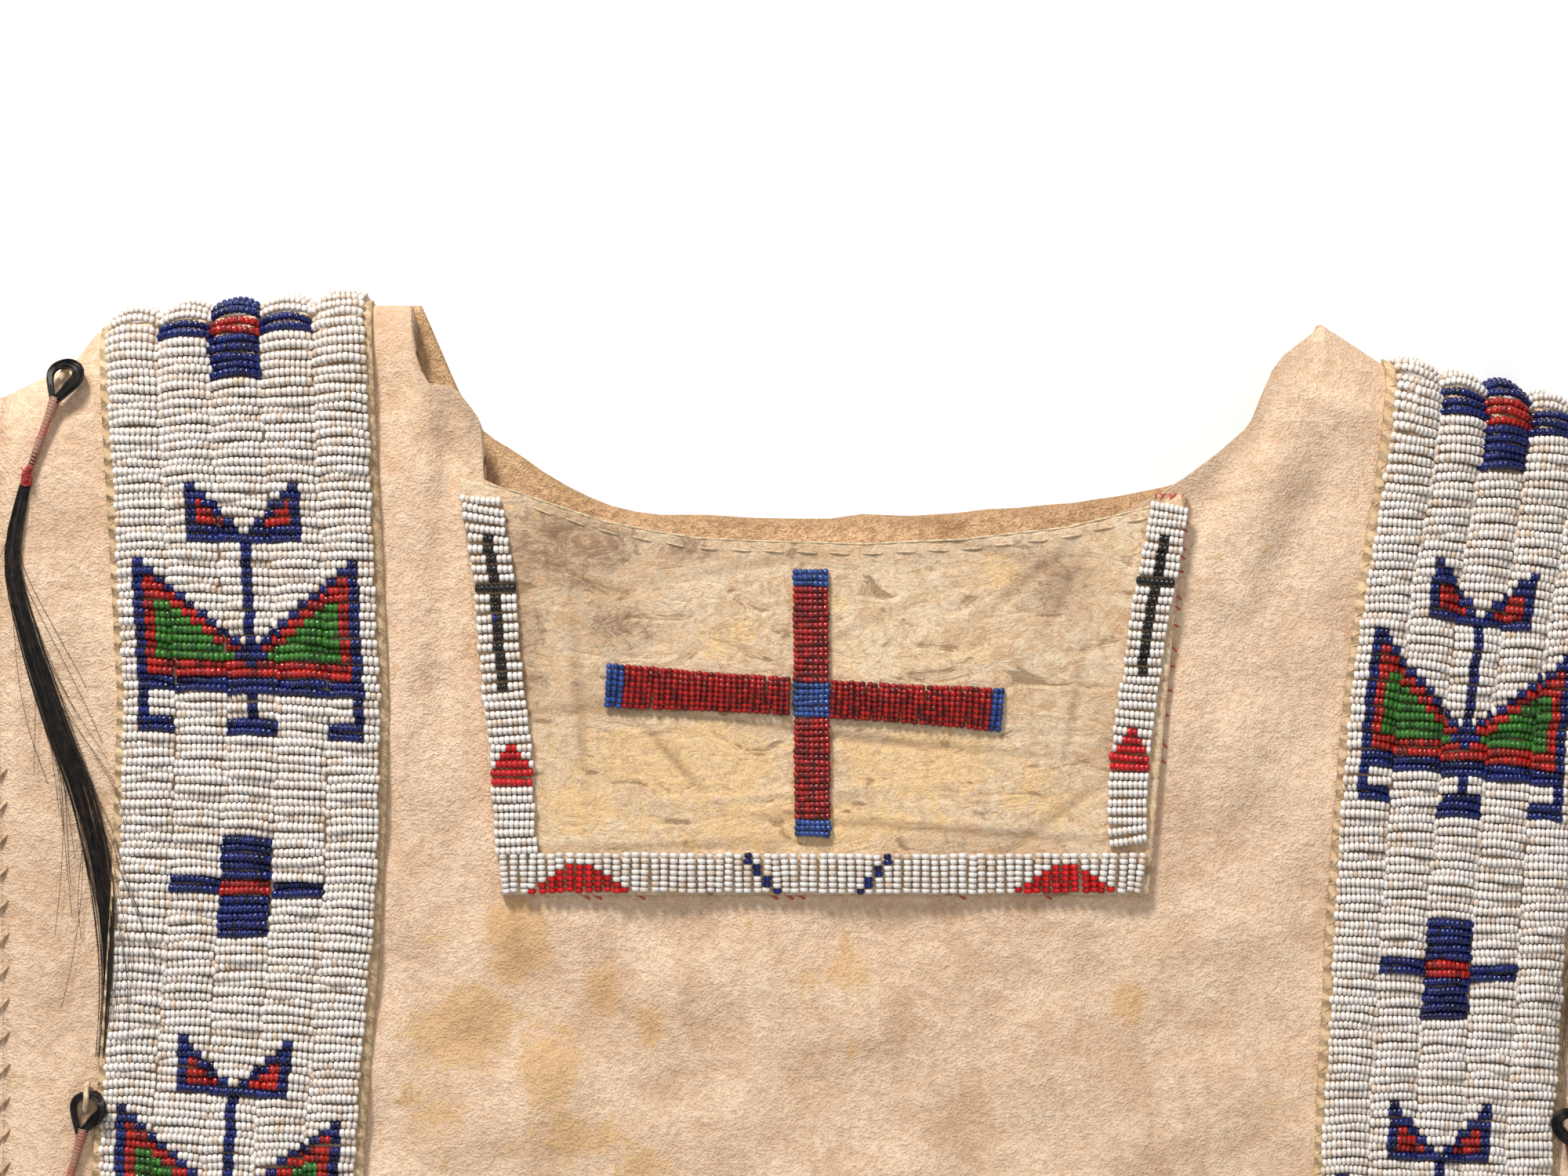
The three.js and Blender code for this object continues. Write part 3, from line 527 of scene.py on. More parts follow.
# The back hide. It lies flat under the front, and shows only above the cut of the neck, where its inner
# flesh side is rough and brown.
back_columns = np.unique(np.concatenate([
    np.linspace(-ARMHOLE_X, ARMHOLE_X, 60), np.linspace(-108, 124, 90), SHOULDER_LINE[:, 0],
    BACK_NECK[:, 0],
]))
back_rows = np.concatenate([np.arange(0, 40, 2.0), np.arange(44, BODY_LENGTH - 10, 24.0), [BODY_LENGTH]])
back_x, back_y = hide_grid(BACK_NECK, back_columns, back_rows)
back_top = np.stack([back_x, back_y, np.full(back_x.shape, HIDE)], axis=-1)
back_hide = wall_object("back_hide_cloth", back_top, back_top * (1, 1, 0))
paint_faces(back_hide, "stain", np.zeros(back_x.shape))
rim = np.exp(-((line_at(BACK_NECK, back_x) - back_y) / 2.2) ** 2) * (back_x > -108) * (back_x < 124)
paint_faces(back_hide, "soil", rim)
back_hide.data.materials.append(hide)
back_hide.data.materials.append(hide_material("flesh_side", FLESH_TONES, 1.6))
upward = np.zeros(len(back_hide.data.polygons) * 3)
back_hide.data.polygons.foreach_get("normal", upward)
back_hide.data.polygons.foreach_set("material_index", (upward[2::3] > 0.5).astype(np.int32))
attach(back_hide, "root")
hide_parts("back_hide")


# The sleeves. Each is one hide folded along the top of the arm and sewn under it, laid out flat to the
# side with soft folds across it. The cuffs are plain cut edges.
CUFF_TOP = np.array((606.0, -28.0))
CUFF_BOTTOM = np.array((584.0, -182.0))
SLEEVE_STEPS = 92
CUFF_CREST = 6.0
SLEEVE_FOLDS = [
    (268, -60, 70, 60, 13, 4.2), (330, -90, 104, 55, 14, 3.2), (420, -70, 78, 46, 13, 3.6),
    (505, -100, 98, 40, 12, 2.8), (240, -20, 50, 24, 5, 1.0), (250, -120, 120, 30, 5, 1.2),
    (300, -130, 66, 26, 5, 1.0), (370, -60, 100, 26, 5, 1.1), (462, -120, 82, 30, 5, 1.0),
    (560, -80, 94, 34, 6, 1.2),
]


def sleeve_section(width, crest, bumps):
    """Places round a flat sleeve: distance from its top fold and height, outside and inside."""
    angles = np.radians(np.linspace(0, 90, 9))
    rows = [(2.2, 0, 2.2, HIDE), (0.4, 0.7, HIDE + 0.2, HIDE + 0.1)]
    for angle in angles:
        q = ROLL_DEPTH * (1 - np.cos(angle))
        z = SEAM_Z + crest * np.sin(angle)
        tilt = np.arctan2(crest * np.cos(angle), ROLL_DEPTH * np.sin(angle))
        rows.append((q, z, q + HIDE * np.sin(tilt), max(SEAM_Z, z - HIDE * np.cos(tilt))))
    flat_end = width - 4
    for q in np.linspace(ROLL_DEPTH, flat_end, 36)[1:]:
        z = SEAM_Z + roll_rise(q, crest) + bumps(q / width) * ease((flat_end - q) / 12)
        rows.append((q, z, q, z - HIDE))
    rows.append((width, SEAM_Z, width - HIDE, SEAM_Z))
    rows.append((width - 0.6, 0.6, width - HIDE - 0.2, HIDE))
    rows.append((width - 2.2, 0, width - 2.8, HIDE))
    rows.append((width * 0.66, 0, width * 0.66, HIDE))
    rows.append((width * 0.33, 0, width * 0.33, HIDE))
    return np.array(rows, float)


def ring_faces(rings, sides, start=0, flip=False):
    """Quads between rings of points, each ring closed on itself."""
    j = np.arange(rings - 1)[:, None] * sides
    k = np.arange(sides)[None, :]
    n = (k + 1) % sides
    quads = np.stack(np.broadcast_arrays(j + k, j + n, j + sides + n, j + sides + k), axis=-1)
    quads = quads.reshape(-1, 4) + start
    return quads[:, ::-1] if flip else quads


def make_sleeve(name, side, node_name):
    fold_y = SHOULDER_LINE[0 if side < 0 else -1, 1]
    start_top = np.array((ARMHOLE_X + GAP, fold_y))
    start_bottom = np.array((ARMHOLE_X + GAP, ARMPIT_Y))
    outer, inner = [], []
    for t in np.linspace(0, 1, SLEEVE_STEPS):
        top = start_top + (CUFF_TOP - start_top) * t
        bottom = start_bottom + (CUFF_BOTTOM - start_bottom) * t
        width = np.linalg.norm(bottom - top)

        def bumps(w):
            x, y = top + (bottom - top) * w
            return (ridges(SLEEVE_FOLDS, x, y) + soft_waves(x * side + 40, y)) * ease(t * 8)

        section = sleeve_section(width, SHOULDER_RISE + (CUFF_CREST - SHOULDER_RISE) * t, bumps)
        for store, q, z in ((outer, section[:, 0], section[:, 1]), (inner, section[:, 2], section[:, 3])):
            place = top[None, :] + (bottom - top)[None, :] * (q / width)[:, None]
            store.append(np.column_stack([side * place[:, 0], place[:, 1], z]))
    sheets = np.array([outer, inner])
    rings, sides = sheets.shape[1:3]
    count = rings * sides
    k = np.arange(sides)
    n = (k + 1) % sides
    last = (rings - 1) * sides
    flip = side < 0
    ends = [
        np.stack([n, k, k + count, n + count], axis=-1),
        np.stack([last + k, last + n, last + n + count, last + k + count], axis=-1),
    ]
    ends = [e[:, ::-1] if flip else e for e in ends]
    faces = [ring_faces(rings, sides, 0, flip), ring_faces(rings, sides, count, not flip), *ends]
    made = mesh_object(name, sheets.reshape(-1, 3), *faces)
    for attribute in ("stain", "soil"):
        paint(made, attribute, np.zeros(2 * count))
    made.data.materials.append(hide)
    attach(made, "root")
    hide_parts(node_name)


make_sleeve("sleeve_left_cloth", -1, "sleeve_left")
make_sleeve("sleeve_right_cloth", 1, "sleeve_right")


# The shoulder strips. A band of hide, 69 mm wide on the left and 62 on the right, runs over each shoulder.
# It has five lanes of seed beads: each row of a lane is strung on one thread and tied down at its ends, so
# that the rows arch up between and ride over and under their neighbours.
STRIP_HIDE = 1.2
LAID_GAP = 0.4
LANES = 5
LANE_WIDTH = 13.0
BEADS_PER_ROW = 10
BEAD_RADIUS = 1.16
ROW_PITCH = 2.14
STRIP_LENGTH = 304.0
BAND_HALF = 34.6
LEVELLING = 0.55
OUTWARD_STEP = 0.05

WHITE, BLUE, RED, GREEN, BLACK, SCARLET, RUBY, PALE_BLUE = range(8)

# length along the curve of the shoulder's fold, from its top, for a fine row of angles
arc_angles = np.linspace(0, np.pi / 2, 400)
arc_speeds = np.hypot(ROLL_DEPTH * np.sin(arc_angles), SHOULDER_RISE * np.cos(arc_angles))
arc_steps = arc_speeds * (arc_angles[1] - arc_angles[0])
arc_lengths = np.concatenate([[0], np.cumsum(arc_steps)[:-1]])
FOLD_ARC = arc_lengths[-1]

# place along a strip in mm from the fold, and the slope of its rows there
ROW_SLOPES = {
    "left": np.array([
        (0, 0.10), (10, 0.06), (50, 0.0), (70, -0.01), (100, -0.045), (155, -0.055), (190, -0.075),
        (304, -0.085),
    ]),
    "right": np.array([
        (0, -0.19), (6, -0.165), (47, -0.15), (66, -0.145), (99, -0.11), (149, -0.08), (184, -0.045),
        (304, -0.03),
    ]),
}


def outward(x, y):
    """Directions square to the front, without its creases, at places on it."""
    step = OUTWARD_STEP
    slope_x = (front_z(x + step, y) - front_z(x - step, y)) / (2 * step)
    slope_y = (front_z(x, y + step) - front_z(x, y - step)) / (2 * step)
    out = np.stack([-slope_x, -slope_y, np.ones(x.shape)], axis=-1)
    return out / np.linalg.norm(out, axis=-1, keepdims=True)


def strip_place(side, across, along):
    """The front's surface and its outward direction, at places across and along a strip."""
    across, along = np.broadcast_arrays(across * STRIP_SHARES[side], along)
    middle = STRIP_MIDDLES[side]
    angle = np.interp(along, arc_lengths, arc_angles)
    below = np.where(along > FOLD_ARC, ROLL_DEPTH + along - FOLD_ARC, ROLL_DEPTH * (1 - np.cos(angle)))
    below = np.where(along < 0, 0.0, below)
    top_x = np.interp(70, middle[:, 0], middle[:, 1])
    mid_y = line_at(SHOULDER_LINE, top_x) - below
    mid_x = np.interp(mid_y, middle[:, 0], middle[:, 1])
    slope = np.interp(along, ROW_SLOPES[side][:, 0], ROW_SLOPES[side][:, 1])
    x = mid_x + across / np.sqrt(1 + slope**2)
    y = mid_y + across * slope
    fold = line_at(SHOULDER_LINE, x)
    y = np.where(below < 2, fold - below, y + (fold - below - y) * (1 - ease((below - 2) / 24)))
    y = np.minimum(y, fold)
    out = outward(x, np.minimum(y, fold - 2 * OUTWARD_STEP))
    over = along < 0
    z = np.where(over, SEAM_Z + along, front_z(x, y))
    out[over] = (0.0, 1.0, 0.0)
    return np.stack([x, y, z], axis=-1), out


STRIP_NODES = {"left": "shoulder_strip_left", "right": "shoulder_strip_right"}
DROP = -1.5
STITCH_PITCH = 0.0046
MARGIN_STARTS = 32.0
strip_across = np.unique(np.concatenate([
    np.linspace(-BAND_HALF, BAND_HALF, 20),
    (-MARGIN_STARTS, 0.6 - MARGIN_STARTS, MARGIN_STARTS - 0.6, MARGIN_STARTS),
]))
strip_along = np.concatenate([
    [DROP], np.linspace(0, FOLD_ARC, 12), np.arange(FOLD_ARC + 4, STRIP_LENGTH, 5), [STRIP_LENGTH],
])


def strip_material():
    """Smoked hide with a whipped margin and painted shade between its stitches, and paler under the beads:
    painted light that brightens the shaded gaps between the bead rows.
    """
    made, tree, surface = material("strip_hide", Roughness=0.8)
    at = places(tree)
    cloud = noise(tree, at, 120.0, 4.0)
    fine = noise(tree, at, 1100.0, 4.0, 0.7)
    x, y = (node(tree, "ShaderNodeSeparateXYZ", {}, {"Vector": at}, output=axis) for axis in "XY")
    turns = (y + x * 0.55) * (2 * math.pi / STITCH_PITCH) + cloud * 9.0
    whip = node(tree, "ShaderNodeMath", {"operation": "SINE"}, {0: turns})
    margin = painted(tree, "margin")
    tone = mix(cloud.between(0.3, 0.7), (0.58, 0.38, 0.20), (0.80, 0.58, 0.34))
    tone = mix(whip.between(0.5, 0.95) * 0.25, tone, (0.86, 0.70, 0.48))
    # painted shade in the gaps between the whip stitches
    tone = mix((-0.6 - whip).between(0.0, 0.4) * 0.5, tone, (0.28, 0.17, 0.09))
    tone = mix(fine.between(0.35, 0.65) * 0.35, tone, (0.36, 0.23, 0.12))
    # a flat paler tone under the beads: painted light that brightens the shaded gaps between the bead rows
    feed(tree, surface, "Base Color", mix(margin, (0.74, 0.54, 0.36), tone))
    feed(tree, surface, "Normal", bump(tree, fine * 0.5 + whip * margin * 0.5, 0.7, 0.0010))
    return made


strip_hide = strip_material()

for side, node_name in STRIP_NODES.items():
    base, out = strip_place(side, strip_across[None, :], strip_along[:, None])
    band = wall_object(f"strip_{side}_hide", base + out * (LAID_GAP + STRIP_HIDE), base + out * LAID_GAP)
    paint_faces(band, "margin", np.broadcast_to(abs(strip_across) >= MARGIN_STARTS, base.shape[:2]))
    band.data.materials.append(strip_hide)
    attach(band, "root")
    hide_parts(node_name)

# Figures of the beadwork, with the place of each along its strip in mm from the shoulder fold.
FIGURES = {
    "left": [
        ("cross", 7.2), ("horns", 44.6), ("wings", 64.4), ("cross", 149.0), ("horns", 186.6),
        ("wings", 205.6), ("cross", 290),
    ],
    "right": [
        ("cross", 8.2), ("horns", 44.9), ("wings", 64.2), ("cross", 147.6), ("horns", 182.3),
        ("wings", 201), ("cross", 285),
    ],
}
HORN_HEIGHT = 15.0
HORN_HALF = 14.9
WING_HEIGHT = 34.0
WING_HALF = 28.7
CROSS_HALF_HEIGHT = 12.8
ARM_HALF = 2.4


def figure_colours(side, across, along):
    """Bead colours of the strips' figures: a cross, horns on a stem, and wings on three feet."""
    colour = np.full(across.shape, WHITE)
    u = abs(across)
    for figure, at in FIGURES[side]:
        v = along - at
        if figure == "cross":
            colour[(u < LANE_WIDTH / 2) & (abs(v) < CROSS_HALF_HEIGHT)] = BLUE
            colour[(u < LANE_WIDTH * 1.5) & (u > LANE_WIDTH / 2) & (abs(v) < ARM_HALF)] = BLUE
            colour[(u < LANE_WIDTH / 2) & (abs(v) < ARM_HALF)] = RED
        if figure == "horns":
            inner_edge = HORN_HALF - 1.7 - 0.98 * v
            colour[(v > 0) & (v < HORN_HEIGHT) & (u < HORN_HALF) & (u > inner_edge)] = BLUE
            heart = (v > 6.2) & (v < HORN_HEIGHT - 2.6) & (u < HORN_HALF - 3.4)
            colour[heart & (u > inner_edge + 2.8)] = RED
            colour[(v > HORN_HEIGHT - 2.2) & (v < HORN_HEIGHT) & (u < HORN_HALF)] = BLUE
            colour[(v >= HORN_HEIGHT) & (v < HORN_HEIGHT + 28) & (u < 1.5)] = BLUE
        if figure == "wings":
            inner_edge = WING_HALF - 1.4 - 1.2 * v
            inside = (v > 0) & (v < WING_HEIGHT) & (u < WING_HALF)
            colour[inside & (u > inner_edge)] = BLUE
            colour[inside & (v < WING_HEIGHT - 4.2) & (u < WING_HALF - 2.7) & (u > inner_edge + 2.6)] = RED
            green = (u > inner_edge + 7.0) & (u < WING_HALF - 5.2) & (v > 11) & (v < 25.6)
            colour[inside & green] = GREEN
            colour[(v > 24.2) & (v < 26.3) & (u < 3.4)] = BLUE
            colour[(v >= 26.3) & (v < 28.5) & (u < 1.4)] = BLUE
            feet = v - WING_HEIGHT
            leg = (u > WING_HALF - 3.0) & (u < WING_HALF - 0.2)
            colour[(feet >= 0) & (feet < 6) & ((u < 1.6) | leg)] = BLUE
            colour[(feet >= 6) & (feet < 10.6) & (u < 4.6 + 0.2 * feet)] = BLUE
            outer_foot = (u > WING_HALF - 8.8) & (u < WING_HALF - 0.2)
            colour[(feet >= 6) & (feet < 10.4) & outer_foot] = BLUE
    return colour


# Linear colours of glass, in the order of their names: the common one of each, and the one that the stained
# beads, and the beads darkened with painted shade, come near.
GLASS = np.array([
    [(0.82, 0.797, 0.768), (0.67, 0.53, 0.415)],
    [(0.006, 0.015, 0.145), (0.003, 0.005, 0.035)],
    [(0.50, 0.014, 0.006), (0.13, 0.005, 0.005)],
    [(0.040, 0.19, 0.020), (0.018, 0.075, 0.012)],
    [(0.016, 0.014, 0.013), (0.006, 0.006, 0.006)],
    [(0.66, 0.010, 0.012), (0.34, 0.006, 0.008)],
    [(0.40, 0.012, 0.009), (0.12, 0.008, 0.008)],
    [(0.030, 0.085, 0.33), (0.012, 0.03, 0.13)],
])


def glass_material():
    made, tree, surface = material("seed_bead_glass")
    surface.inputs["IOR"].default_value = 1.47
    own = node(tree, "ShaderNodeAttribute", {"attribute_name": "bead_colour"}, {}, output="Color")
    pale = node(tree, "ShaderNodeSeparateColor", {}, {"Color": own}, output="Green").between(0.2, 0.8)
    at = places(tree)
    dirt = noise(tree, at, 260.0, 3.0)
    speck = noise(tree, at, 1900.0, 2.0)
    tone = mix(dirt.between(0.45, 0.8) * pale * 0.30, own, (0.52, 0.36, 0.23))
    feed(tree, surface, "Base Color", tone)
    feed(tree, surface, "Roughness", dirt * 0.10 + pale * 0.22 + 0.08)
    feed(tree, surface, "Normal", bump(tree, speck, 0.08, 0.0002))
    return made


glass = glass_material()


# Directions round a thread of beads, in degrees from its top: closer where the beads are seen.
BEAD_SPOKES = np.radians([0, 50, 98, 180, 262, 310])
BEAD_STEPS = (0.0, 0.23, 0.77)
GROOVE = 0.58
GROOVE_SHADE = np.array((0.54, 0.40, 0.29))


def rods(name, centres, ups, sizes, spokes):
    """Closed rods in one mesh. centres and ups are rows of ring middles and directions, sizes has a radius
    for each ring, and spokes are the angles round a ring, from its top."""
    count, rings = centres.shape[:2]
    sides = len(spokes)
    along = np.gradient(centres, axis=1)
    along /= np.maximum(np.linalg.norm(along, axis=-1, keepdims=True), 1e-9)
    aside = np.cross(along, ups)
    aside /= np.maximum(np.linalg.norm(aside, axis=-1, keepdims=True), 1e-6)
    up = np.cross(aside, along)
    spoke = up[:, :, None, :] * np.cos(spokes)[:, None] + aside[:, :, None, :] * np.sin(spokes)[:, None]
    points = centres[:, :, None, :] + spoke * sizes[:, :, None, None]
    starts = np.arange(count)[:, None, None] * (rings * sides)
    quads = (ring_faces(rings, sides)[None] + starts).reshape(-1, 4)
    first = np.arange(sides)[::-1][None] + starts[:, :, 0]
    last = np.arange(sides)[None] + (rings - 1) * sides + starts[:, :, 0]
    return mesh_object(name, points.reshape(-1, 3), quads, np.concatenate([first, last]))


def string_beads(name, centres, ups, radii, colours):
    """Threads of beads as closed corrugated rods. centres and ups are rows of ring middles and directions,
    with BEAD_STEPS rings to a bead, and radii and colours have one of each for every bead."""
    rows, beads = radii.shape
    per_bead = len(BEAD_STEPS)
    sides = len(BEAD_SPOKES)
    size = (radii[:, :, None] * np.array([GROOVE, 1.0, 1.0])).reshape(rows, -1)
    size = np.concatenate([size, radii[:, -1:] * GROOVE], axis=1)
    made = rods(name, centres, ups, size, BEAD_SPOKES)
    bead = colours.reshape(-1, 1, 1, 1, 3)
    shade = np.ones((per_bead, 1, 4, 1)) * np.ones(3)
    shade[0, :, :2] = GROOVE_SHADE
    shade[-1, :, 2:] = GROOVE_SHADE
    of_quads = np.broadcast_to(bead * shade, (rows * beads, per_bead, sides, 4, 3)).reshape(-1, 3)
    of_ends = np.repeat(np.concatenate([colours[:, 0], colours[:, -1]]) * GROOVE_SHADE, sides, axis=0)
    of_corners = np.concatenate([of_quads, of_ends])
    of_corners = np.column_stack([of_corners, np.ones(len(of_corners))]).astype(np.float32)
    attribute = made.data.attributes.new("bead_colour", "FLOAT_COLOR", "CORNER")
    attribute.data.foreach_set("color", of_corners.ravel())
    made.data.materials.append(glass)
    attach(made, "root")
    return made


def ring_places(beads):
    """Places of the rings along a thread of beads, from 0 to 1."""
    return np.concatenate([(np.arange(beads)[:, None] + np.array(BEAD_STEPS)).ravel(), [beads]]) / beads


def bead_tones(kinds, stain_chance, shade_and_end_darkening):
    """A colour for each bead: near the common one, and further from it in the stained ones and where the
    darkening
    is high: painted shade on beads sunk under their neighbours, and a darkening near the lane ends."""
    share = np.where(kinds == WHITE, rng.beta(1.2, 7.0, kinds.shape), rng.beta(1.2, 2.2, kinds.shape)) + shade_and_end_darkening
    share = share + (rng.random(kinds.shape) < stain_chance) * rng.uniform(0.3, 0.9, kinds.shape)
    share = np.clip(share, 0, 1)[..., None]
    return GLASS[kinds, 0] * (1 - share) + GLASS[kinds, 1] * share


# how far a row may sink and rise, how much it is pushed along by its neighbours, how far its middle bows
# back, and how high it arches on the chest and, besides that, at the shoulder
RIDE_LIMITS = (-0.65, 0.55)
CROWDING = 0.26
ROW_BOW = -0.42
CHEST_CROWN = 0.8
SHOULDER_CROWN = 1.7


def lane_of_beads(side, lane):
    """One lane of a strip, from the fold of the shoulder to the lower end."""
    along = np.arange(-0.5, STRIP_LENGTH - 1.2, ROW_PITCH)
    rows = len(along)
    t = ring_places(BEADS_PER_ROW)
    w = 2 * t - 1

    # how high each row rides along its length, over or under its neighbours
    knots = rng.normal(0, 0.30, (rows, 4))
    by_turns = (-1.0) ** np.arange(rows)[:, None]
    knots = knots + 0.20 * by_turns * rng.uniform(0.2, 1.4, (rows, 1))
    ride = np.array([np.interp(t, (0, 0.33, 0.67, 1), row) for row in knots.clip(*RIDE_LIMITS)])
    crowd = CROWDING * (np.roll(ride, 1, axis=0) - np.roll(ride, -1, axis=0))

    middle = (lane - (LANES - 1) / 2) * LANE_WIDTH
    wander = 0.3 * np.sin(along / 19 + lane * 1.7) + rng.uniform(-0.34, 0.34, rows)
    stretch = 1 + rng.uniform(-0.045, 0.03, rows)
    u = middle + wander[:, None] + LANE_WIDTH * stretch[:, None] * w[None, :] / 2
    bow = ROW_BOW + rng.normal(0, 0.16, rows) + 0.2 * np.sin(along / 17 + lane * 2.1)
    lean = rng.normal(0, 0.1, rows) + 0.25 * np.sin(along / 11 + lane * 1.3)
    bow, lean = (part * ease((along - 4) / 20) for part in (bow, lean))
    v = along[:, None] + bow[:, None] * (1 - w**2) + lean[:, None] * w
    v = v + crowd * ease((along[:, None] - 2) / 12)
    slope = np.interp(along, ROW_SLOPES[side][:, 0], ROW_SLOPES[side][:, 1])
    v = v + LEVELLING * (slope * ease((along - 3) / 10))[:, None] * (u - middle)

    base, out = strip_place(side, u, v)
    crown = CHEST_CROWN + SHOULDER_CROWN * (1 - ease(along / 60)) + rng.uniform(-0.15, 0.15, rows)
    lift = LAID_GAP + STRIP_HIDE + BEAD_RADIUS - 0.15 + crown[:, None] * (1 - w**2) + ride - 0.35 * w**6
    centres = base + out * lift[..., None]

    bead_at = (np.arange(BEADS_PER_ROW) + 0.5) / BEADS_PER_ROW
    bead_u = np.broadcast_to(middle + LANE_WIDTH * (bead_at - 0.5), (rows, BEADS_PER_ROW))
    kinds = figure_colours(side, bead_u, np.broadcast_to(along[:, None], bead_u.shape))
    # painted shade: the beads of a row are darkened by how far it sinks under its neighbours, and a little
    # near the lane ends
    low = np.clip(-ride[:, 1::3] - 0.1, 0, 1)[:, :BEADS_PER_ROW]
    near_end = np.exp(-np.minimum(bead_at, 1 - bead_at) * 16)
    radii = BEAD_RADIUS * rng.normal(1.0, 0.05, bead_u.shape)
    return centres, out, radii, bead_tones(kinds, 0.08 + 0.26 * near_end, low * 0.9 + 0.12 * near_end)


for side in STRIP_NODES:
    for lane in range(LANES):
        string_beads(f"beads_{side}_{lane + 1}", *lane_of_beads(side, lane))


# The bib. A stiff, darker piece of hide sewn below the neck, bordered with beads on three sides, with a
# beaded cross at its middle. Its top edge is held by running stitches.
BIB_HIDE = 1.4
BIB_BOTTOM_LEFT = -86.0
BIB_BOTTOM_RIGHT = 79.0
BIB_BOTTOM_Y = -78.4
BIB_WIDTH = 170.0
BIB_LEVEL = LAID_GAP + BIB_HIDE
# x and y along the top edge of the bib
BIB_TOP = np.array([
    (-96.4, 28.6), (-90, 26.8), (-82, 24.6), (-74, 21.8), (-60, 17.2), (-48, 14.8), (-36, 12.9),
    (-24, 12.3), (6, 11.4), (32, 12.6), (58, 15.6), (80, 21), (88.4, 24.6),
])


def bib_x(share, y):
    t = (BIB_TOP[0, 1] - y) / (BIB_TOP[0, 1] - BIB_BOTTOM_Y)
    left = BIB_TOP[0, 0] + (BIB_BOTTOM_LEFT - BIB_TOP[0, 0]) * t
    right = BIB_TOP[-1, 0] + (BIB_BOTTOM_RIGHT - BIB_TOP[-1, 0]) * t
    return left + (right - left) * share


def on_front(x, y, lift):
    """Places over the front hide, moved out by lift, and the outward directions there."""
    x, y = np.broadcast_arrays(np.asarray(x, float), np.asarray(y, float))
    out = outward(x, y)
    return np.stack([x, y, front_z(x, y)], axis=-1) + out * np.asarray(lift)[..., None], out


# x, y, direction, half length, half width and rise of the creases of the bib
BIB_CREASES = [
    (-60, -31, 2, 30, 1.0, -0.5), (-18, -35, -8, 32, 1.1, -0.55), (-22, -33, -7, 30, 1.2, 0.4),
    (20, -40, -5, 36, 1.0, -0.5), (30, -62, -4, 50, 1.1, -0.55), (18, -59.6, -4, 44, 1.1, 0.35),
    (-40, -66, 2, 36, 1.2, -0.4), (-66, -30, 94, 26, 1.3, -0.45), (-42, -44, -48, 12, 1.0, -0.6),
    (10, -8, 24, 22, 1.1, -0.35), (48, 2, 40, 18, 1.1, -0.5), (56, -4, 62, 14, 1.1, -0.45),
    (60, -30, 80, 18, 1.2, -0.4), (56, -58, 36, 20, 1.1, -0.5), (-30, 4, 10, 30, 1.2, -0.3),
    (-50, -12, 30, 18, 1.2, 0.35), (26, -20, 12, 26, 1.2, 0.35), (-8, -52, 4, 40, 1.1, 0.35),
    (36, 10, -14, 26, 1.2, -0.35), (-70, -4, 70, 14, 1.3, 0.3),
]
bib_share = np.linspace(0, 1, 152)
bib_t = np.linspace(0, 1, 90)
top_y = np.interp(bib_x(bib_share, 14.0), BIB_TOP[:, 0], BIB_TOP[:, 1])
bib_y = top_y[None, :] + (BIB_BOTTOM_Y - top_y)[None, :] * bib_t[:, None]
bib_px = bib_x(bib_share[None, :], bib_y)
from_side = np.minimum(bib_share, 1 - bib_share)[None, :] * BIB_WIDTH
lift_rim = 0.5 * np.exp(-from_side / 3.0) * rng.uniform(0.6, 1.0)
relief = ridges(BIB_CREASES, bib_px, bib_y) * ease(from_side / 12) * ease((1 - bib_t[:, None]) * 8)
bib_base, bib_out = on_front(bib_px, bib_y, LAID_GAP)
bib = wall_object("bib_cloth", bib_base + bib_out * (BIB_HIDE + relief + lift_rim)[..., None], bib_base)


# x, y, half width, half height and strength of the worn yellow patches of the bib, and of its dark soil
BIB_WORN = [
    (-41, -44, 30, 12, 1.0), (18, -45, 28, 11, 0.9), (-26, -13, 16, 8, 0.7), (41, 3, 12, 7, 0.6),
    (-66, -55, 13, 9, 0.8), (-9, -60, 42, 9, 0.8), (-4, -2, 16, 6, 0.5), (52, -52, 16, 12, 0.6),
    (34, -14, 18, 8, 0.5), (58, -28, 10, 12, 0.5),
]
BIB_SOIL = [
    (-70, 10, 26, 15, 1.15), (-56, -9, 16, 9, 1.0), (-40, 9, 16, 5, 0.9), (55, 2, 14, 12, 0.9),
    (34, -65, 30, 5, 0.7), (-80, -16, 9, 24, 1.0), (0, -24, 60, 4, 0.4), (70, -38, 7, 16, 0.7),
    (-64, -28, 12, 9, 0.7), (10, 8, 50, 4, 0.55), (30, -34, 34, 4, 0.35), (-60, -68, 24, 5, 0.5),
]


for name, table in (("worn", BIB_WORN), ("soil", BIB_SOIL)):
    paint_faces(bib, name, blots(table, bib_px, bib_y))
# painted shade of the bib's creases: 1 where it is flat, less where its hide dips
paint_faces(bib, "crease_shading", np.clip(1 + relief * 1.1, 0.35, 1))


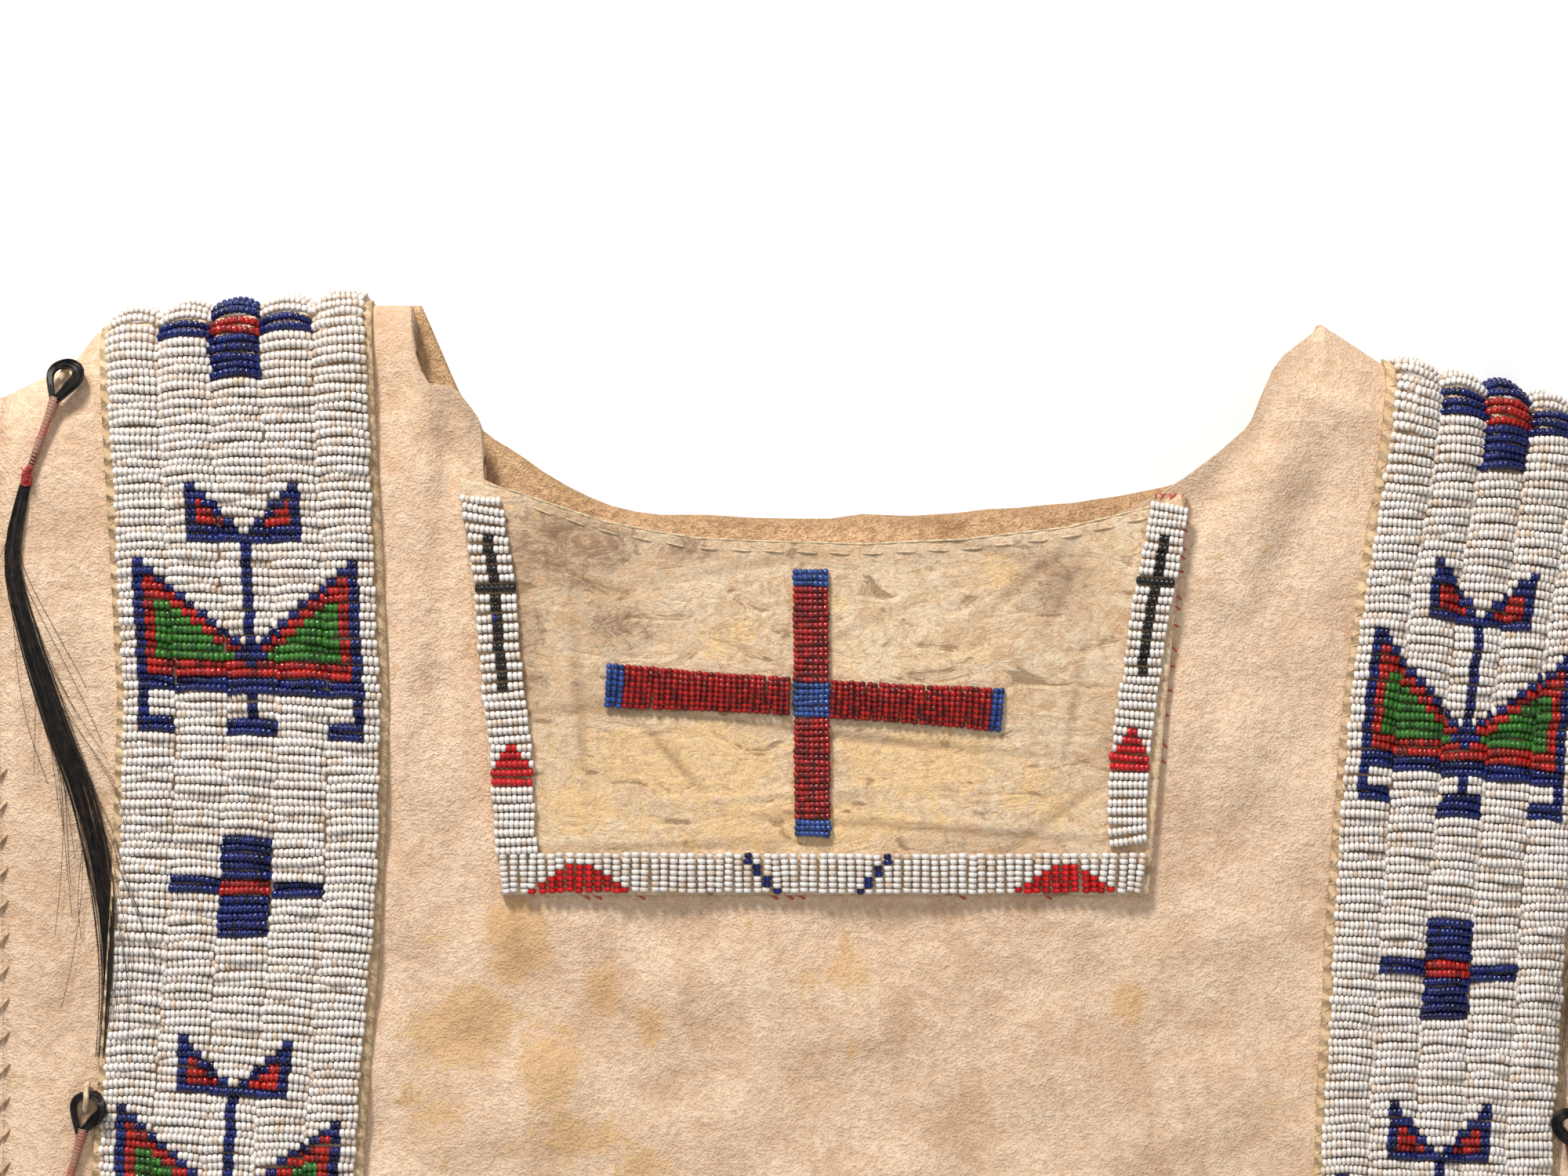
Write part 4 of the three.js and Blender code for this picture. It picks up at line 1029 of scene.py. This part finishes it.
def bib_material():
    """Old smoked hide: yellow and smooth where it is worn, speckled brown where it is soiled, finely
    creased, and darkened with painted shade in the troughs of its creases."""
    made, tree, surface = material("bib_hide", Roughness=0.72)
    surface.inputs["Specular IOR Level"].default_value = 0.25
    at = places(tree)
    broad = noise(tree, at, 30.0, 5.0, 0.62)
    blotch = noise(tree, at, 130.0, 5.0, 0.68, 0.5)
    speck = noise(tree, at, 420.0, 5.0, 0.75, 0.7)
    fine = noise(tree, at, 1500.0, 3.0, 0.7, 1.0)
    long = node(tree, "ShaderNodeMapping", {}, {"Vector": at, "Scale": (0.4, 1.0, 1.0)}, "Vector")
    crease = noise(tree, long, 150.0, 4.0, 0.6, 1.2)
    tone = mix(broad.between(0.40, 0.62), (0.80, 0.52, 0.30), (0.95, 0.66, 0.40))
    tone = mix((blotch * 0.6 + speck * 0.5).between(0.46, 0.66) * 0.7, tone, (1.0, 0.83, 0.60))
    rubbed = (painted(tree, "worn") * 0.8 + (blotch - 0.5) * 1.7 + (broad - 0.5) * 0.8).between(0.28, 0.52)
    tone = mix(rubbed * 0.9, tone, (1.0, 0.655, 0.32))
    soiled = (painted(tree, "soil") * 0.55 + (speck - 0.5) * 1.6 + (blotch - 0.5) * 0.9).between(0.20, 0.66)
    tone = mix(soiled * 0.9, tone, (0.36, 0.21, 0.125))
    line = (crease - 0.5) * (crease - 0.5)
    tone = mix((1.0 - line.between(0.00005, 0.0009)) * 0.30, tone, (0.90, 0.74, 0.52))
    tone = mix((1.0 - crease.between(0.34, 0.42)) * 0.72, tone, (0.28, 0.165, 0.085))
    tone = mix((1.0 - (fine * 0.5 + speck * 0.5).between(0.38, 0.56)) * 0.42, tone, (0.34, 0.21, 0.115))
    # painted shade in the troughs of the creases
    tone = mix(1.0 - painted(tree, "crease_shading"), tone, (0.36, 0.22, 0.12))
    feed(tree, surface, "Base Color", tone)
    feed(tree, surface, "Roughness", 0.84 - rubbed * 0.25)
    height = crease * 0.8 + fine * 0.3 + speck * 0.45 - rubbed * 0.1
    feed(tree, surface, "Normal", bump(tree, height, 0.8, 0.0017))
    return made


bib.data.materials.append(bib_material())
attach(bib, "root")
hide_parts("bib")


def bead_block(name, mids_x, mids_y, turns, lengths, kinds, radius, stain_chance=0.12, crown=0.25):
    """Short threads of beads on the bib, each about its middle, at its own turn and length. kinds has a row
    of beads for each thread."""
    rows, beads = kinds.shape
    w = 2 * ring_places(beads) - 1
    reach = w / 2 * lengths[:, None]
    bow = rng.normal(0, 0.1, rows)[:, None] * (1 - w**2)
    c, s = np.cos(turns)[:, None], np.sin(turns)[:, None]
    x = mids_x[:, None] + reach * c - bow * s
    y = mids_y[:, None] + reach * s + bow * c
    lift = BIB_LEVEL + radius + crown * (1 - w**2) + rng.normal(0, 0.09, rows)[:, None]
    centres, out = on_front(x, y, lift)
    radii = radius * rng.normal(1.0, 0.05, (rows, beads))
    return string_beads(name, centres, out, radii, bead_tones(kinds, stain_chance, 0.0))


SIDE_ROWS = 39
SIDE_BEADS = 8
BORDER_RADIUS = 1.07
# row, y and x of its middle, and its lean, for some rows of each side border, counted from the top
SIDE_LINES = {
    "left": np.array([
        (0, 22.6, -90.9, -0.10), (2, 17.6, -90.0, -0.20), (5, 10.1, -88.9, 0.0), (9, 0.1, -87.5, 0.0),
        (14, -12.4, -86.6, 0.07), (20, -27.4, -85.5, 0.08), (25, -38.3, -83.6, 0.09),
        (29, -47.0, -83.3, 0.0), (38, -66.6, -82.4, 0.02),
    ]),
    "right": np.array([
        (0, 20.2, 83.8, -0.15), (4, 12.6, 82.7, -0.16), (9, 1.8, 80.6, -0.07), (14, -9.5, 78.6, -0.08),
        (19, -20.9, 77.1, 0.0), (24, -31.8, 75.4, -0.10), (26, -36.4, 74.8, -0.12),
        (30, -45.4, 73.8, -0.02), (36, -59.0, 73.6, 0.0), (38, -64.3, 73.4, 0.2),
    ]),
}
BORDER_WIDTHS = {"left": 10.7, "right": 10.0}
FIRST_BLACK = 4
BLACK_ARM = 9
LAST_BLACK = 19
FIRST_RED = 26

for side, line in SIDE_LINES.items():
    row = np.arange(SIDE_ROWS)
    y, x, turns = (np.interp(row, line[:, 0], line[:, k]) for k in (1, 2, 3))
    y = y + rng.uniform(-0.14, 0.14, SIDE_ROWS)
    x = x + rng.uniform(-0.3, 0.3, SIDE_ROWS)
    turns = turns + rng.normal(0, 0.03, SIDE_ROWS)
    kinds = np.full((SIDE_ROWS, SIDE_BEADS), WHITE)
    kinds[FIRST_BLACK : LAST_BLACK + 1, 3:5] = BLACK
    kinds[BLACK_ARM] = BLACK
    for step, reach in enumerate((1, 2, 3, 4, 4)):
        kinds[FIRST_RED + step, 4 - reach : 4 + reach] = SCARLET
    if side == "left":
        kinds[BLACK_ARM + 3, 3] = BLUE
    lengths = BORDER_WIDTHS[side] * rng.uniform(0.96, 1.03, SIDE_ROWS)
    bead_block(f"bib_border_{side}", x, y, turns, lengths, kinds, BORDER_RADIUS)

BASE_COLUMNS = 69
BASE_BEADS = 7
BASE_HEIGHT = 10.3
RED_HEIGHT = 5
RED_COLUMNS = (8, BASE_COLUMNS - 9)
column = np.arange(BASE_COLUMNS)
x = np.linspace(-85.2, 77.0, BASE_COLUMNS) + rng.uniform(-0.15, 0.15, BASE_COLUMNS)
y = -72.6 + 0.25 * np.sin(column / 9.0) + rng.uniform(-0.2, 0.2, BASE_COLUMNS)
kinds = np.full((BASE_COLUMNS, BASE_BEADS), WHITE)
bead_height = np.arange(BASE_BEADS)
for apex in RED_COLUMNS:
    tall = np.minimum(RED_HEIGHT, 6.2 - abs(column - apex))
    kinds[bead_height[None, :] < np.floor(tall)[:, None]] = SCARLET
for start, way in ((26, 1), (41, -1)):
    for step in range(BASE_BEADS):
        at = start + way * (step // 2)
        kinds[at, BASE_BEADS - 1 - step] = BLUE
    kinds[start + way * 3, 0] = BLUE
corner = (abs(column / (BASE_COLUMNS - 1) - 0.5) * 2) ** 14 * np.sign(column - BASE_COLUMNS / 2)
turns = np.pi / 2 + rng.normal(0, 0.035, BASE_COLUMNS) - 0.12 * corner
lengths = BASE_HEIGHT * rng.uniform(0.97, 1.03, BASE_COLUMNS)
bead_block("bib_border_base", x, y, turns, lengths, kinds, BORDER_RADIUS + 0.03)

# The cross: its arms are short threads side by side, which run across each arm.
CROSS_X = -7.0
CROSS_Y = -27.9
ARM_TILT = -0.062
ARM_LEFT = 52.4
ARM_RIGHT = 48.4
STEM_UP = 32.6
STEM_DOWN = 35.4
ARM_SIZE = 9.8
STEM_SIZE = 9.2
CROSS_PITCH = 1.52
CROSS_RADIUS = 0.86
CROSS_STAINED = 0.3
CROSS_CROWN = 0.5


def cross_block(name, mids_x, mids_y, turns, lengths, kinds):
    made = bead_block(name, mids_x, mids_y, turns, lengths, kinds, CROSS_RADIUS, CROSS_STAINED, CROSS_CROWN)


for name, start, end in (("cross_arm_left", -ARM_LEFT, -4.9), ("cross_arm_right", 4.9, ARM_RIGHT)):
    along = np.arange(start + 0.6, end, CROSS_PITCH)
    count = len(along)
    kinds = np.full((count, 8), RUBY)
    ends = slice(0, 3) if start < -10 else slice(count - 2, count)
    kinds[ends] = PALE_BLUE
    size = ARM_SIZE + 1.4 * ease((abs(along) - 20) / 30)
    turns = np.full(count, np.pi / 2 + ARM_TILT) + rng.normal(0, 0.035, count)
    mids_y = CROSS_Y + along * ARM_TILT + rng.uniform(-0.15, 0.15, count)
    cross_block(name, CROSS_X + along, mids_y, turns, size, kinds)
along = np.arange(-STEM_DOWN + 0.6, STEM_UP, CROSS_PITCH)
count = len(along)
kinds = np.full((count, 7), RUBY)
kinds[abs(along) < 4.6] = PALE_BLUE
kinds[:3] = PALE_BLUE
kinds[-3:] = PALE_BLUE
mids_x = CROSS_X - along * 0.01 + rng.uniform(-0.12, 0.12, count)
turns = rng.normal(0, 0.03, count)
sizes = STEM_SIZE * rng.uniform(0.96, 1.03, count)
cross_block("cross_stem", mids_x, CROSS_Y + along, turns, sizes, kinds)


# Sewing. Sinew and cotton threads hold the strips, the bib and the armholes. Each stitch is a short thread
# that rises out of the hide and goes back into it.
def threads(name, paths, radii, sides, made_of):
    """Many thin rods in one mesh. paths are rows of points, and radii one size or a size for each point."""
    ups = np.broadcast_to(np.array((0.0, 0.0, 1.0)), paths.shape)
    radii = np.broadcast_to(radii, paths.shape[:2])
    made = rods(name, paths, ups, radii, 2 * np.pi * np.arange(sides) / sides)
    made.data.materials.append(made_of)
    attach(made, "root")
    return made


def thread_material(name, light, dark, roughness=0.7):
    made, tree, surface = material(name, Roughness=roughness)
    mottled = noise(tree, places(tree), 700.0, 3.0)
    feed(tree, surface, "Base Color", mix(mottled.between(0.35, 0.65), dark, light))
    feed(tree, surface, "Normal", bump(tree, mottled, 0.4, 0.0003))
    return made


sinew = thread_material("sinew", (0.66, 0.47, 0.28), (0.36, 0.23, 0.12))
pale_thread = thread_material("pale_thread", (0.70, 0.55, 0.36), (0.45, 0.32, 0.19))
red_thread = thread_material("red_thread", (0.62, 0.075, 0.06), (0.40, 0.04, 0.035), 0.85)
STITCH_POINTS = 7


def stitches(starts, ends, height):
    """Arched paths between pairs of places, each given as points on the cloth."""
    t = np.linspace(0, 1, STITCH_POINTS)
    paths = starts[:, None, :] + (ends - starts)[:, None, :] * t[None, :, None]
    paths[..., 2] += height * np.sin(np.pi * t)[None, :] ** 0.7 - 0.15
    return paths


# whip stitches over the edges of the strips, in sinew
EDGE_PITCH = 5.2
for side in STRIP_NODES:
    paths = []
    for sign in (-1, 1):
        along = np.arange(8, STRIP_LENGTH - 4, EDGE_PITCH)
        along = along + rng.uniform(-1.2, 1.2, len(along))
        reach = rng.uniform(1.0, 2.6, len(along))
        inner, out = strip_place(side, sign * (BAND_HALF - 2.4), along)
        outer, _ = strip_place(side, sign * (BAND_HALF + 0.1), along + reach)
        top = out * (LAID_GAP + STRIP_HIDE)
        paths.append(stitches(inner + top, outer + top * 0.9, 0.22))
    threads(f"strip_{side}_sewing", np.concatenate(paths), 0.2, 5, sinew)

# the seams of the armholes, and their lacing
LACE_PITCH = 8.4
SEAM_POINTS = 120
lace_y = np.arange(-46, ARMPIT_Y + 6, -LACE_PITCH)
for side, name in ((-1, "left"), (1, "right")):
    inner, _ = on_front(side * (ARMHOLE_X - 1.8), lace_y, 0.1)
    outer = inner + np.array((side * 3.8, -4.4, 0.0))
    threads(f"armhole_{name}_lacing", stitches(inner, outer, 0.7), 0.42, 8, sinew)
    seam_top = line_at(SHOULDER_LINE, side * ARMHOLE_X) - 0.6
    seam, _ = on_front(side * ARMHOLE_X, np.linspace(seam_top, ARMPIT_Y + 0.5, SEAM_POINTS), -0.35)
    seam[:, 0] += side * GAP / 2
    threads(f"armhole_{name}_seam", seam[None], 0.7, 8, hide)

# running stitches along the top of the bib, in pale thread
RUN_LENGTH = 5.2
run_x = np.arange(-78, 84, 8.4)
run_start, _ = on_front(run_x, line_at(BIB_TOP, run_x) - 2.6, BIB_LEVEL)
run_end, _ = on_front(run_x + RUN_LENGTH, line_at(BIB_TOP, run_x + RUN_LENGTH) - 2.9, BIB_LEVEL)
threads("bib_running_stitches", stitches(run_start, run_end, 0.4), 0.26, 5, pale_thread)

# a fine welt along the same edge
WELT_POINTS = 150
welt_x = np.linspace(BIB_TOP[0, 0] + 0.6, BIB_TOP[-1, 0] - 0.6, WELT_POINTS)
welt, _ = on_front(welt_x, line_at(BIB_TOP, welt_x) - 0.2, BIB_LEVEL - 0.15)
welt_size = 0.34 + 0.08 * np.sin(np.arange(WELT_POINTS) * 1.3)
threads("bib_welt", welt[None], welt_size, 6, pale_thread)

# red whip stitches down the right edge of the bib, at its top corner and along its foot
whip_y = np.array([17.6, 15.4, 10.8, 8.6, 4.6, -1.4, -4.0, -8.9, -14.2, -19.6, -25.7, -32.1, -38.9, -43.6])
whip_x = bib_x(1, whip_y)
whip_in, _ = on_front(whip_x - 0.6, whip_y, BIB_LEVEL)
whip_out, _ = on_front(whip_x + 1.3, whip_y - 1.2 + rng.uniform(-0.9, 0.9, len(whip_y)), 0.2)
corner_x = np.array([80.5, 83.0, 85.6, 87.6, 81.6, 84.2])
corner_in, _ = on_front(corner_x, 24.0, BIB_LEVEL)
corner_x_out = corner_x + rng.uniform(-1.8, 1.8, len(corner_x))
corner_out, _ = on_front(corner_x_out, 22.4 + rng.uniform(-0.6, 1.0, len(corner_x)), BIB_LEVEL)
foot_x = np.array([-66, -63, -52, -18, -14, -11, 30, 52])
foot_in, _ = on_front(foot_x, BIB_BOTTOM_Y + 0.4, BIB_LEVEL)
foot_out, _ = on_front(foot_x + 2.4, BIB_BOTTOM_Y - 1.1, 0.3)
red_paths = np.concatenate([
    stitches(whip_in, whip_out, 0.35),
    stitches(corner_in, corner_out, 0.4),
    stitches(foot_in, foot_out, 0.3),
])
threads("bib_red_stitches", red_paths, 0.24, 5, red_thread)


# The hair locks. A hank of black horsehair is folded over a thong, wrapped below its loop with dyed quill
# and thread, and left to hang. Loose hairs stray from each.

# x and y along a lock's route, from the top of its wrapping
LOCK_ROUTE = np.array([
    (-1.6, 0), (-4.6, -9), (-8.2, -19), (-11.4, -29), (-14, -46), (-9.6, -66), (-3.2, -86), (3.6, -106),
    (7.8, -128), (9.2, -150), (7.6, -172),
])
# points of the smooth route at which the wrapping starts and ends
WRAP_STARTS = 5
WRAP_ENDS = 33
LOOP = np.array([
    (-3.4, -4.6), (-4.5, 0.2), (-4.5, 3.0), (-2.8, 4.7), (0.4, 5.0), (2.8, 3.5), (2.7, 0.9), (0.2, -1.6),
    (-2.9, -4.6),
])
LOOP_POINTS = 24
# shares of the loop's length, and how far its hairs spread there
LOOP_SPREAD = ((0, 0.15, 0.4, 0.62, 0.85, 1), (0.3, 0.45, 0.6, 1.0, 1.0, 0.45))
THONG = np.array([(-1.3, 8.0), (-1.5, 6.4), (-1.2, 4.6), (-1.4, 2.6), (-1.8, 0.8)])
LOCKS = [
    # name, x, y, side, bow, swing
    ("left_upper", -196, 52, 1, 1.0, 1.0),
    ("left_lower", -190.6, -134.4, 1, 0.8, 0.0),
    ("right_upper", 208, 35, -1, 0.1, 2.2),
    ("right_lower", 185.2, -138.4, -1, 0.6, 0.0),
]
HAIR_CLEARANCE = 0.6
WRAP_RADIUS = 1.5
WRAP_RINGS = 130
WRAP_ROUNDS = 26
WRAP_SIDES = 14
HAIRS = 96
HAIR_POINTS = 24
HAIR_RADIUS = 0.15
CORE_POINTS = 34
CORE_RADIUS = 0.95
LOOP_HAIRS = 54
THONG_POINTS = 14
FRAY_THREADS = 26
FRAY_POINTS = 12
STRAYS = 30
STRAY_POINTS = 26
ROUTE_STEPS = 12


def smooth_route(points, count):
    """A smooth line of count points through the given ones."""
    n = len(points)
    t = np.linspace(0, n - 1, count)
    k = np.minimum(t.astype(int), n - 2)
    f = (t - k)[:, None]
    padded = np.vstack([2 * points[0] - points[1], points, 2 * points[-1] - points[-2]])
    p0, p1, p2, p3 = (padded[k + shift] for shift in range(4))
    squared = (2 * p0 - 5 * p1 + 4 * p2 - p3) * f**2
    cubed = (3 * p1 - p0 - 3 * p2 + p3) * f**3
    return 0.5 * (2 * p1 + (p2 - p0) * f + squared + cubed)


def hair_z(x, y):
    """Height at which hair lies: over the highest part of the front close round it, and over the strips."""
    level = np.max([front_z(x + dx, y + dy) for dx in (-3, 0, 3) for dy in (-3, 0, 3)], axis=0)
    over = 0.0
    for middle in STRIP_MIDDLES.values():
        aside = abs(x - np.interp(y, middle[:, 0], middle[:, 1]))
        over = np.maximum(over, ease((STRIP_HALF + 1.5 - aside) / 3) * ease((y - STRIP_END_Y) / 6))
    return level + HAIR_CLEARANCE + over * (STRIP_HIDE + 2 * BEAD_RADIUS + 1.2)


def hair_material():
    made, tree, surface = material("horsehair", Roughness=0.38)
    surface.inputs["Specular IOR Level"].default_value = 0.5
    streak = noise(tree, places(tree), 500.0, 3.0)
    tone = mix(streak.between(0.4, 0.7), (0.006, 0.005, 0.005), (0.03, 0.018, 0.012))
    feed(tree, surface, "Base Color", tone)
    feed(tree, surface, "Roughness", streak * 0.2 + 0.28)
    return made


def stray_material():
    made, tree, surface = material("stray_hair", Roughness=0.42)
    streak = noise(tree, places(tree), 300.0, 2.0)
    tone = mix(streak.between(0.35, 0.65), (0.03, 0.014, 0.008), (0.10, 0.05, 0.028))
    feed(tree, surface, "Base Color", tone)
    return made


def quill_material():
    made, tree, surface = material("dyed_quill", Roughness=0.5)
    at = places(tree)
    band = noise(tree, at, 120.0, 3.0)
    fine = noise(tree, at, 1500.0, 2.0)
    tone = mix(band.between(0.40, 0.6), (0.42, 0.13, 0.09), (0.36, 0.19, 0.13))
    tone = mix(fine.between(0.4, 0.7) * 0.4, tone, (0.14, 0.05, 0.035))
    tone = mix(painted(tree, "red"), tone, (0.46, 0.035, 0.03))
    tone = mix(painted(tree, "gap").between(0.3, 0.8), tone, (0.02, 0.012, 0.01))
    feed(tree, surface, "Base Color", tone)
    feed(tree, surface, "Normal", bump(tree, fine, 0.3, 0.0002))
    return made


hair = hair_material()
stray = stray_material()
quill = quill_material()


def lock_route(x, y, side, bow, swing):
    out, down = LOCK_ROUTE[:, 0], LOCK_ROUTE[:, 1]
    scale = np.where(out < 0, bow, swing)
    route = np.column_stack([x + side * out * scale, y + down])
    return smooth_route(route, ROUTE_STEPS * (len(LOCK_ROUTE) - 1) + 1)


def along_route(route, at):
    """x and y of a route, or of its directions, at places between its points."""
    return (np.interp(at, np.arange(len(route)), route[:, k]) for k in (0, 1))


def aside_of(route):
    along = np.gradient(route, axis=0)
    along /= np.linalg.norm(along, axis=1, keepdims=True)
    return np.column_stack([-along[:, 1], along[:, 0]])


for name, x, y, side, bow, swing in LOCKS:
    route = lock_route(x, y, side, bow, swing)
    aside = aside_of(route)

    # the wrapping: rounds of quill, close at first and further apart at the lower end
    wound = np.linspace(WRAP_STARTS, WRAP_ENDS, WRAP_RINGS)
    wx, wy = along_route(route, wound)
    done = (wound - WRAP_STARTS) / (WRAP_ENDS - WRAP_STARTS)
    core = WRAP_RADIUS * (1 - 0.3 * ease(done * 3) - 0.1 * ease((done - 0.7) * 4))
    rounds = 0.5 + 0.5 * np.cos(2 * np.pi * done * WRAP_ROUNDS)
    loosened = ease((done - 0.58) / 0.1) * (1 - ease((done - 0.84) / 0.1))
    radii = core * (0.89 + 0.11 * rounds**0.6 - 0.26 * loosened * (1 - rounds))
    wrap_path = np.column_stack([wx, wy, hair_z(wx, wy) + WRAP_RADIUS * 0.95])
    wrap = threads(f"wrap_{name}", wrap_path[None], radii, WRAP_SIDES, quill)
    paint(wrap, "gap", np.repeat((0.35 + 0.65 * loosened) * (1 - rounds), WRAP_SIDES))
    paint(wrap, "red", np.repeat(ease((done - 0.78) / 0.06), WRAP_SIDES))
    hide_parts(f"hair_wrap_{name}")

    # the hanging hair: a core, and hairs that fan out over it
    start = WRAP_ENDS - 2
    tail = route[start:]
    tail_aside = aside[start:]
    share = np.linspace(0, 1, HAIR_POINTS)
    pick = share * (len(tail) - 1)
    spread = 1.15 + 0.5 * ease(share * 6) + 1.35 * ease((share - 0.1) * 2.4)
    spread = spread - 1.4 * ease((share - 0.66) / 0.34)
    offsets = rng.normal(0, 0.5, HAIRS).clip(-1.15, 1.15)
    drift = rng.normal(0, 0.5, (HAIRS, 2))
    lengths = np.clip(rng.normal(0.93, 0.09, HAIRS), 0.55, 1.0)
    paths = np.zeros((HAIRS, HAIR_POINTS, 3))
    for h in range(HAIRS):
        at = pick * lengths[h]
        px, py = along_route(tail, at)
        ax, ay = along_route(tail_aside, at)
        waver = drift[h, 0] * np.sin(2.2 * np.pi * share + drift[h, 1] * 3) * share * 1.3
        off = offsets[h] * spread + waver
        paths[h, :, 0] = px + ax * off
        paths[h, :, 1] = py + ay * off
        pile = 1.5 * np.sqrt(np.clip(1 - (offsets[h] / 1.3) ** 2, 0, 1)) * (1 - 0.6 * share)
        paths[h, :, 2] = hair_z(paths[h, :, 0], paths[h, :, 1]) + pile * rng.uniform(0.45, 1.0)
    lock = threads(f"lock_{name}", paths, HAIR_RADIUS * (1 - 0.5 * share), 3, hair)
    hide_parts(f"hair_lock_{name}")

    # the core keeps the hank dense
    cx, cy = along_route(tail, np.linspace(0, 0.9, CORE_POINTS) * (len(tail) - 1))
    core_size = CORE_RADIUS * (1 - ease(np.linspace(0, 1, CORE_POINTS) / 1.05) * 0.86)
    core_path = np.column_stack([cx, cy, hair_z(cx, cy) + core_size * 0.6])
    threads(f"lock_core_{name}", core_path[None], core_size, 8, hair)

    # the loop over the thong
    loop = smooth_route(LOOP * (side, 1) + (x, y), LOOP_POINTS)
    loop_spread = np.interp(np.linspace(0, 1, LOOP_POINTS), *LOOP_SPREAD)
    loop_paths = []
    for h in range(LOOP_HAIRS):
        off = rng.uniform(-1.45, 1.45) * loop_spread[:, None]
        sway = rng.normal(0, 0.22)
        off = off + sway * np.sin(np.linspace(0, rng.uniform(2, 7), LOOP_POINTS) + h)[:, None]
        lift = rng.uniform(0.0, 1.8)
        p = loop + aside_of(loop) * off
        loop_paths.append(np.column_stack([p, hair_z(p[:, 0], p[:, 1]) + lift + 0.6]))
    threads(f"loop_{name}", np.array(loop_paths), 0.2, 3, hair)

    # the thong that ties the loop to the shirt, laid over the loop's top
    thong_x, thong_y = smooth_route(THONG * (side, 1) + (x, y), THONG_POINTS).T
    over_loop = np.sin(np.pi * np.clip((8.2 + y - thong_y) / 9.0, 0, 1))
    thong_y = np.minimum(thong_y, line_at(SHOULDER_LINE, thong_x) - 1)
    thong_z = front_z(thong_x, thong_y) + 0.6 + 3.4 * over_loop
    thong_path = np.column_stack([thong_x, thong_y, thong_z])
    threads(f"thong_{name}", thong_path[None], 0.75, 8, pale_thread)

    # frayed red threads round the lower end of the wrapping
    fray_middle = route[WRAP_ENDS - 3]
    fray_paths = []
    for h in range(FRAY_THREADS):
        turn = rng.uniform(0, 2 * np.pi)
        ring = turn + np.linspace(0, rng.uniform(1.6, 4.4), FRAY_POINTS)
        ring_size = rng.uniform(0.4, 1.35)
        px = fray_middle[0] + rng.normal(0, 0.35) + ring_size * np.cos(ring)
        py = fray_middle[1] + rng.uniform(-2.6, 2.0) + ring_size * 0.8 * np.sin(ring)
        fray_paths.append(np.column_stack([px, py, hair_z(px, py) + rng.uniform(0.8, 2.8)]))
    threads(f"fray_{name}", np.array(fray_paths), 0.13, 3, red_thread)

    # stray hairs, which curve away from the lock
    stray_paths = []
    t = np.linspace(0, 1, STRAY_POINTS)
    for h in range(STRAYS):
        begin = rng.uniform(0, 0.6)
        reach = rng.uniform(0.2, 0.45)
        px, py = along_route(tail, (begin + t * reach) * (len(tail) - 1))
        swing_out = rng.uniform(2, 17) * (1 if rng.random() < 0.6 else -0.9)
        curl = swing_out * (t**1.5 - 0.3 * rng.uniform(0, 1.6) * t**4)
        curl = curl + 0.5 * np.sin(t * rng.uniform(3, 8)) * t
        px = px + curl * side
        py = py + rng.uniform(-3, 3) * t**2
        stray_paths.append(np.column_stack([px, py, hair_z(px, py) + rng.uniform(0.1, 0.8)]))
    threads(f"strays_{name}", np.array(stray_paths), 0.085, 3, stray)
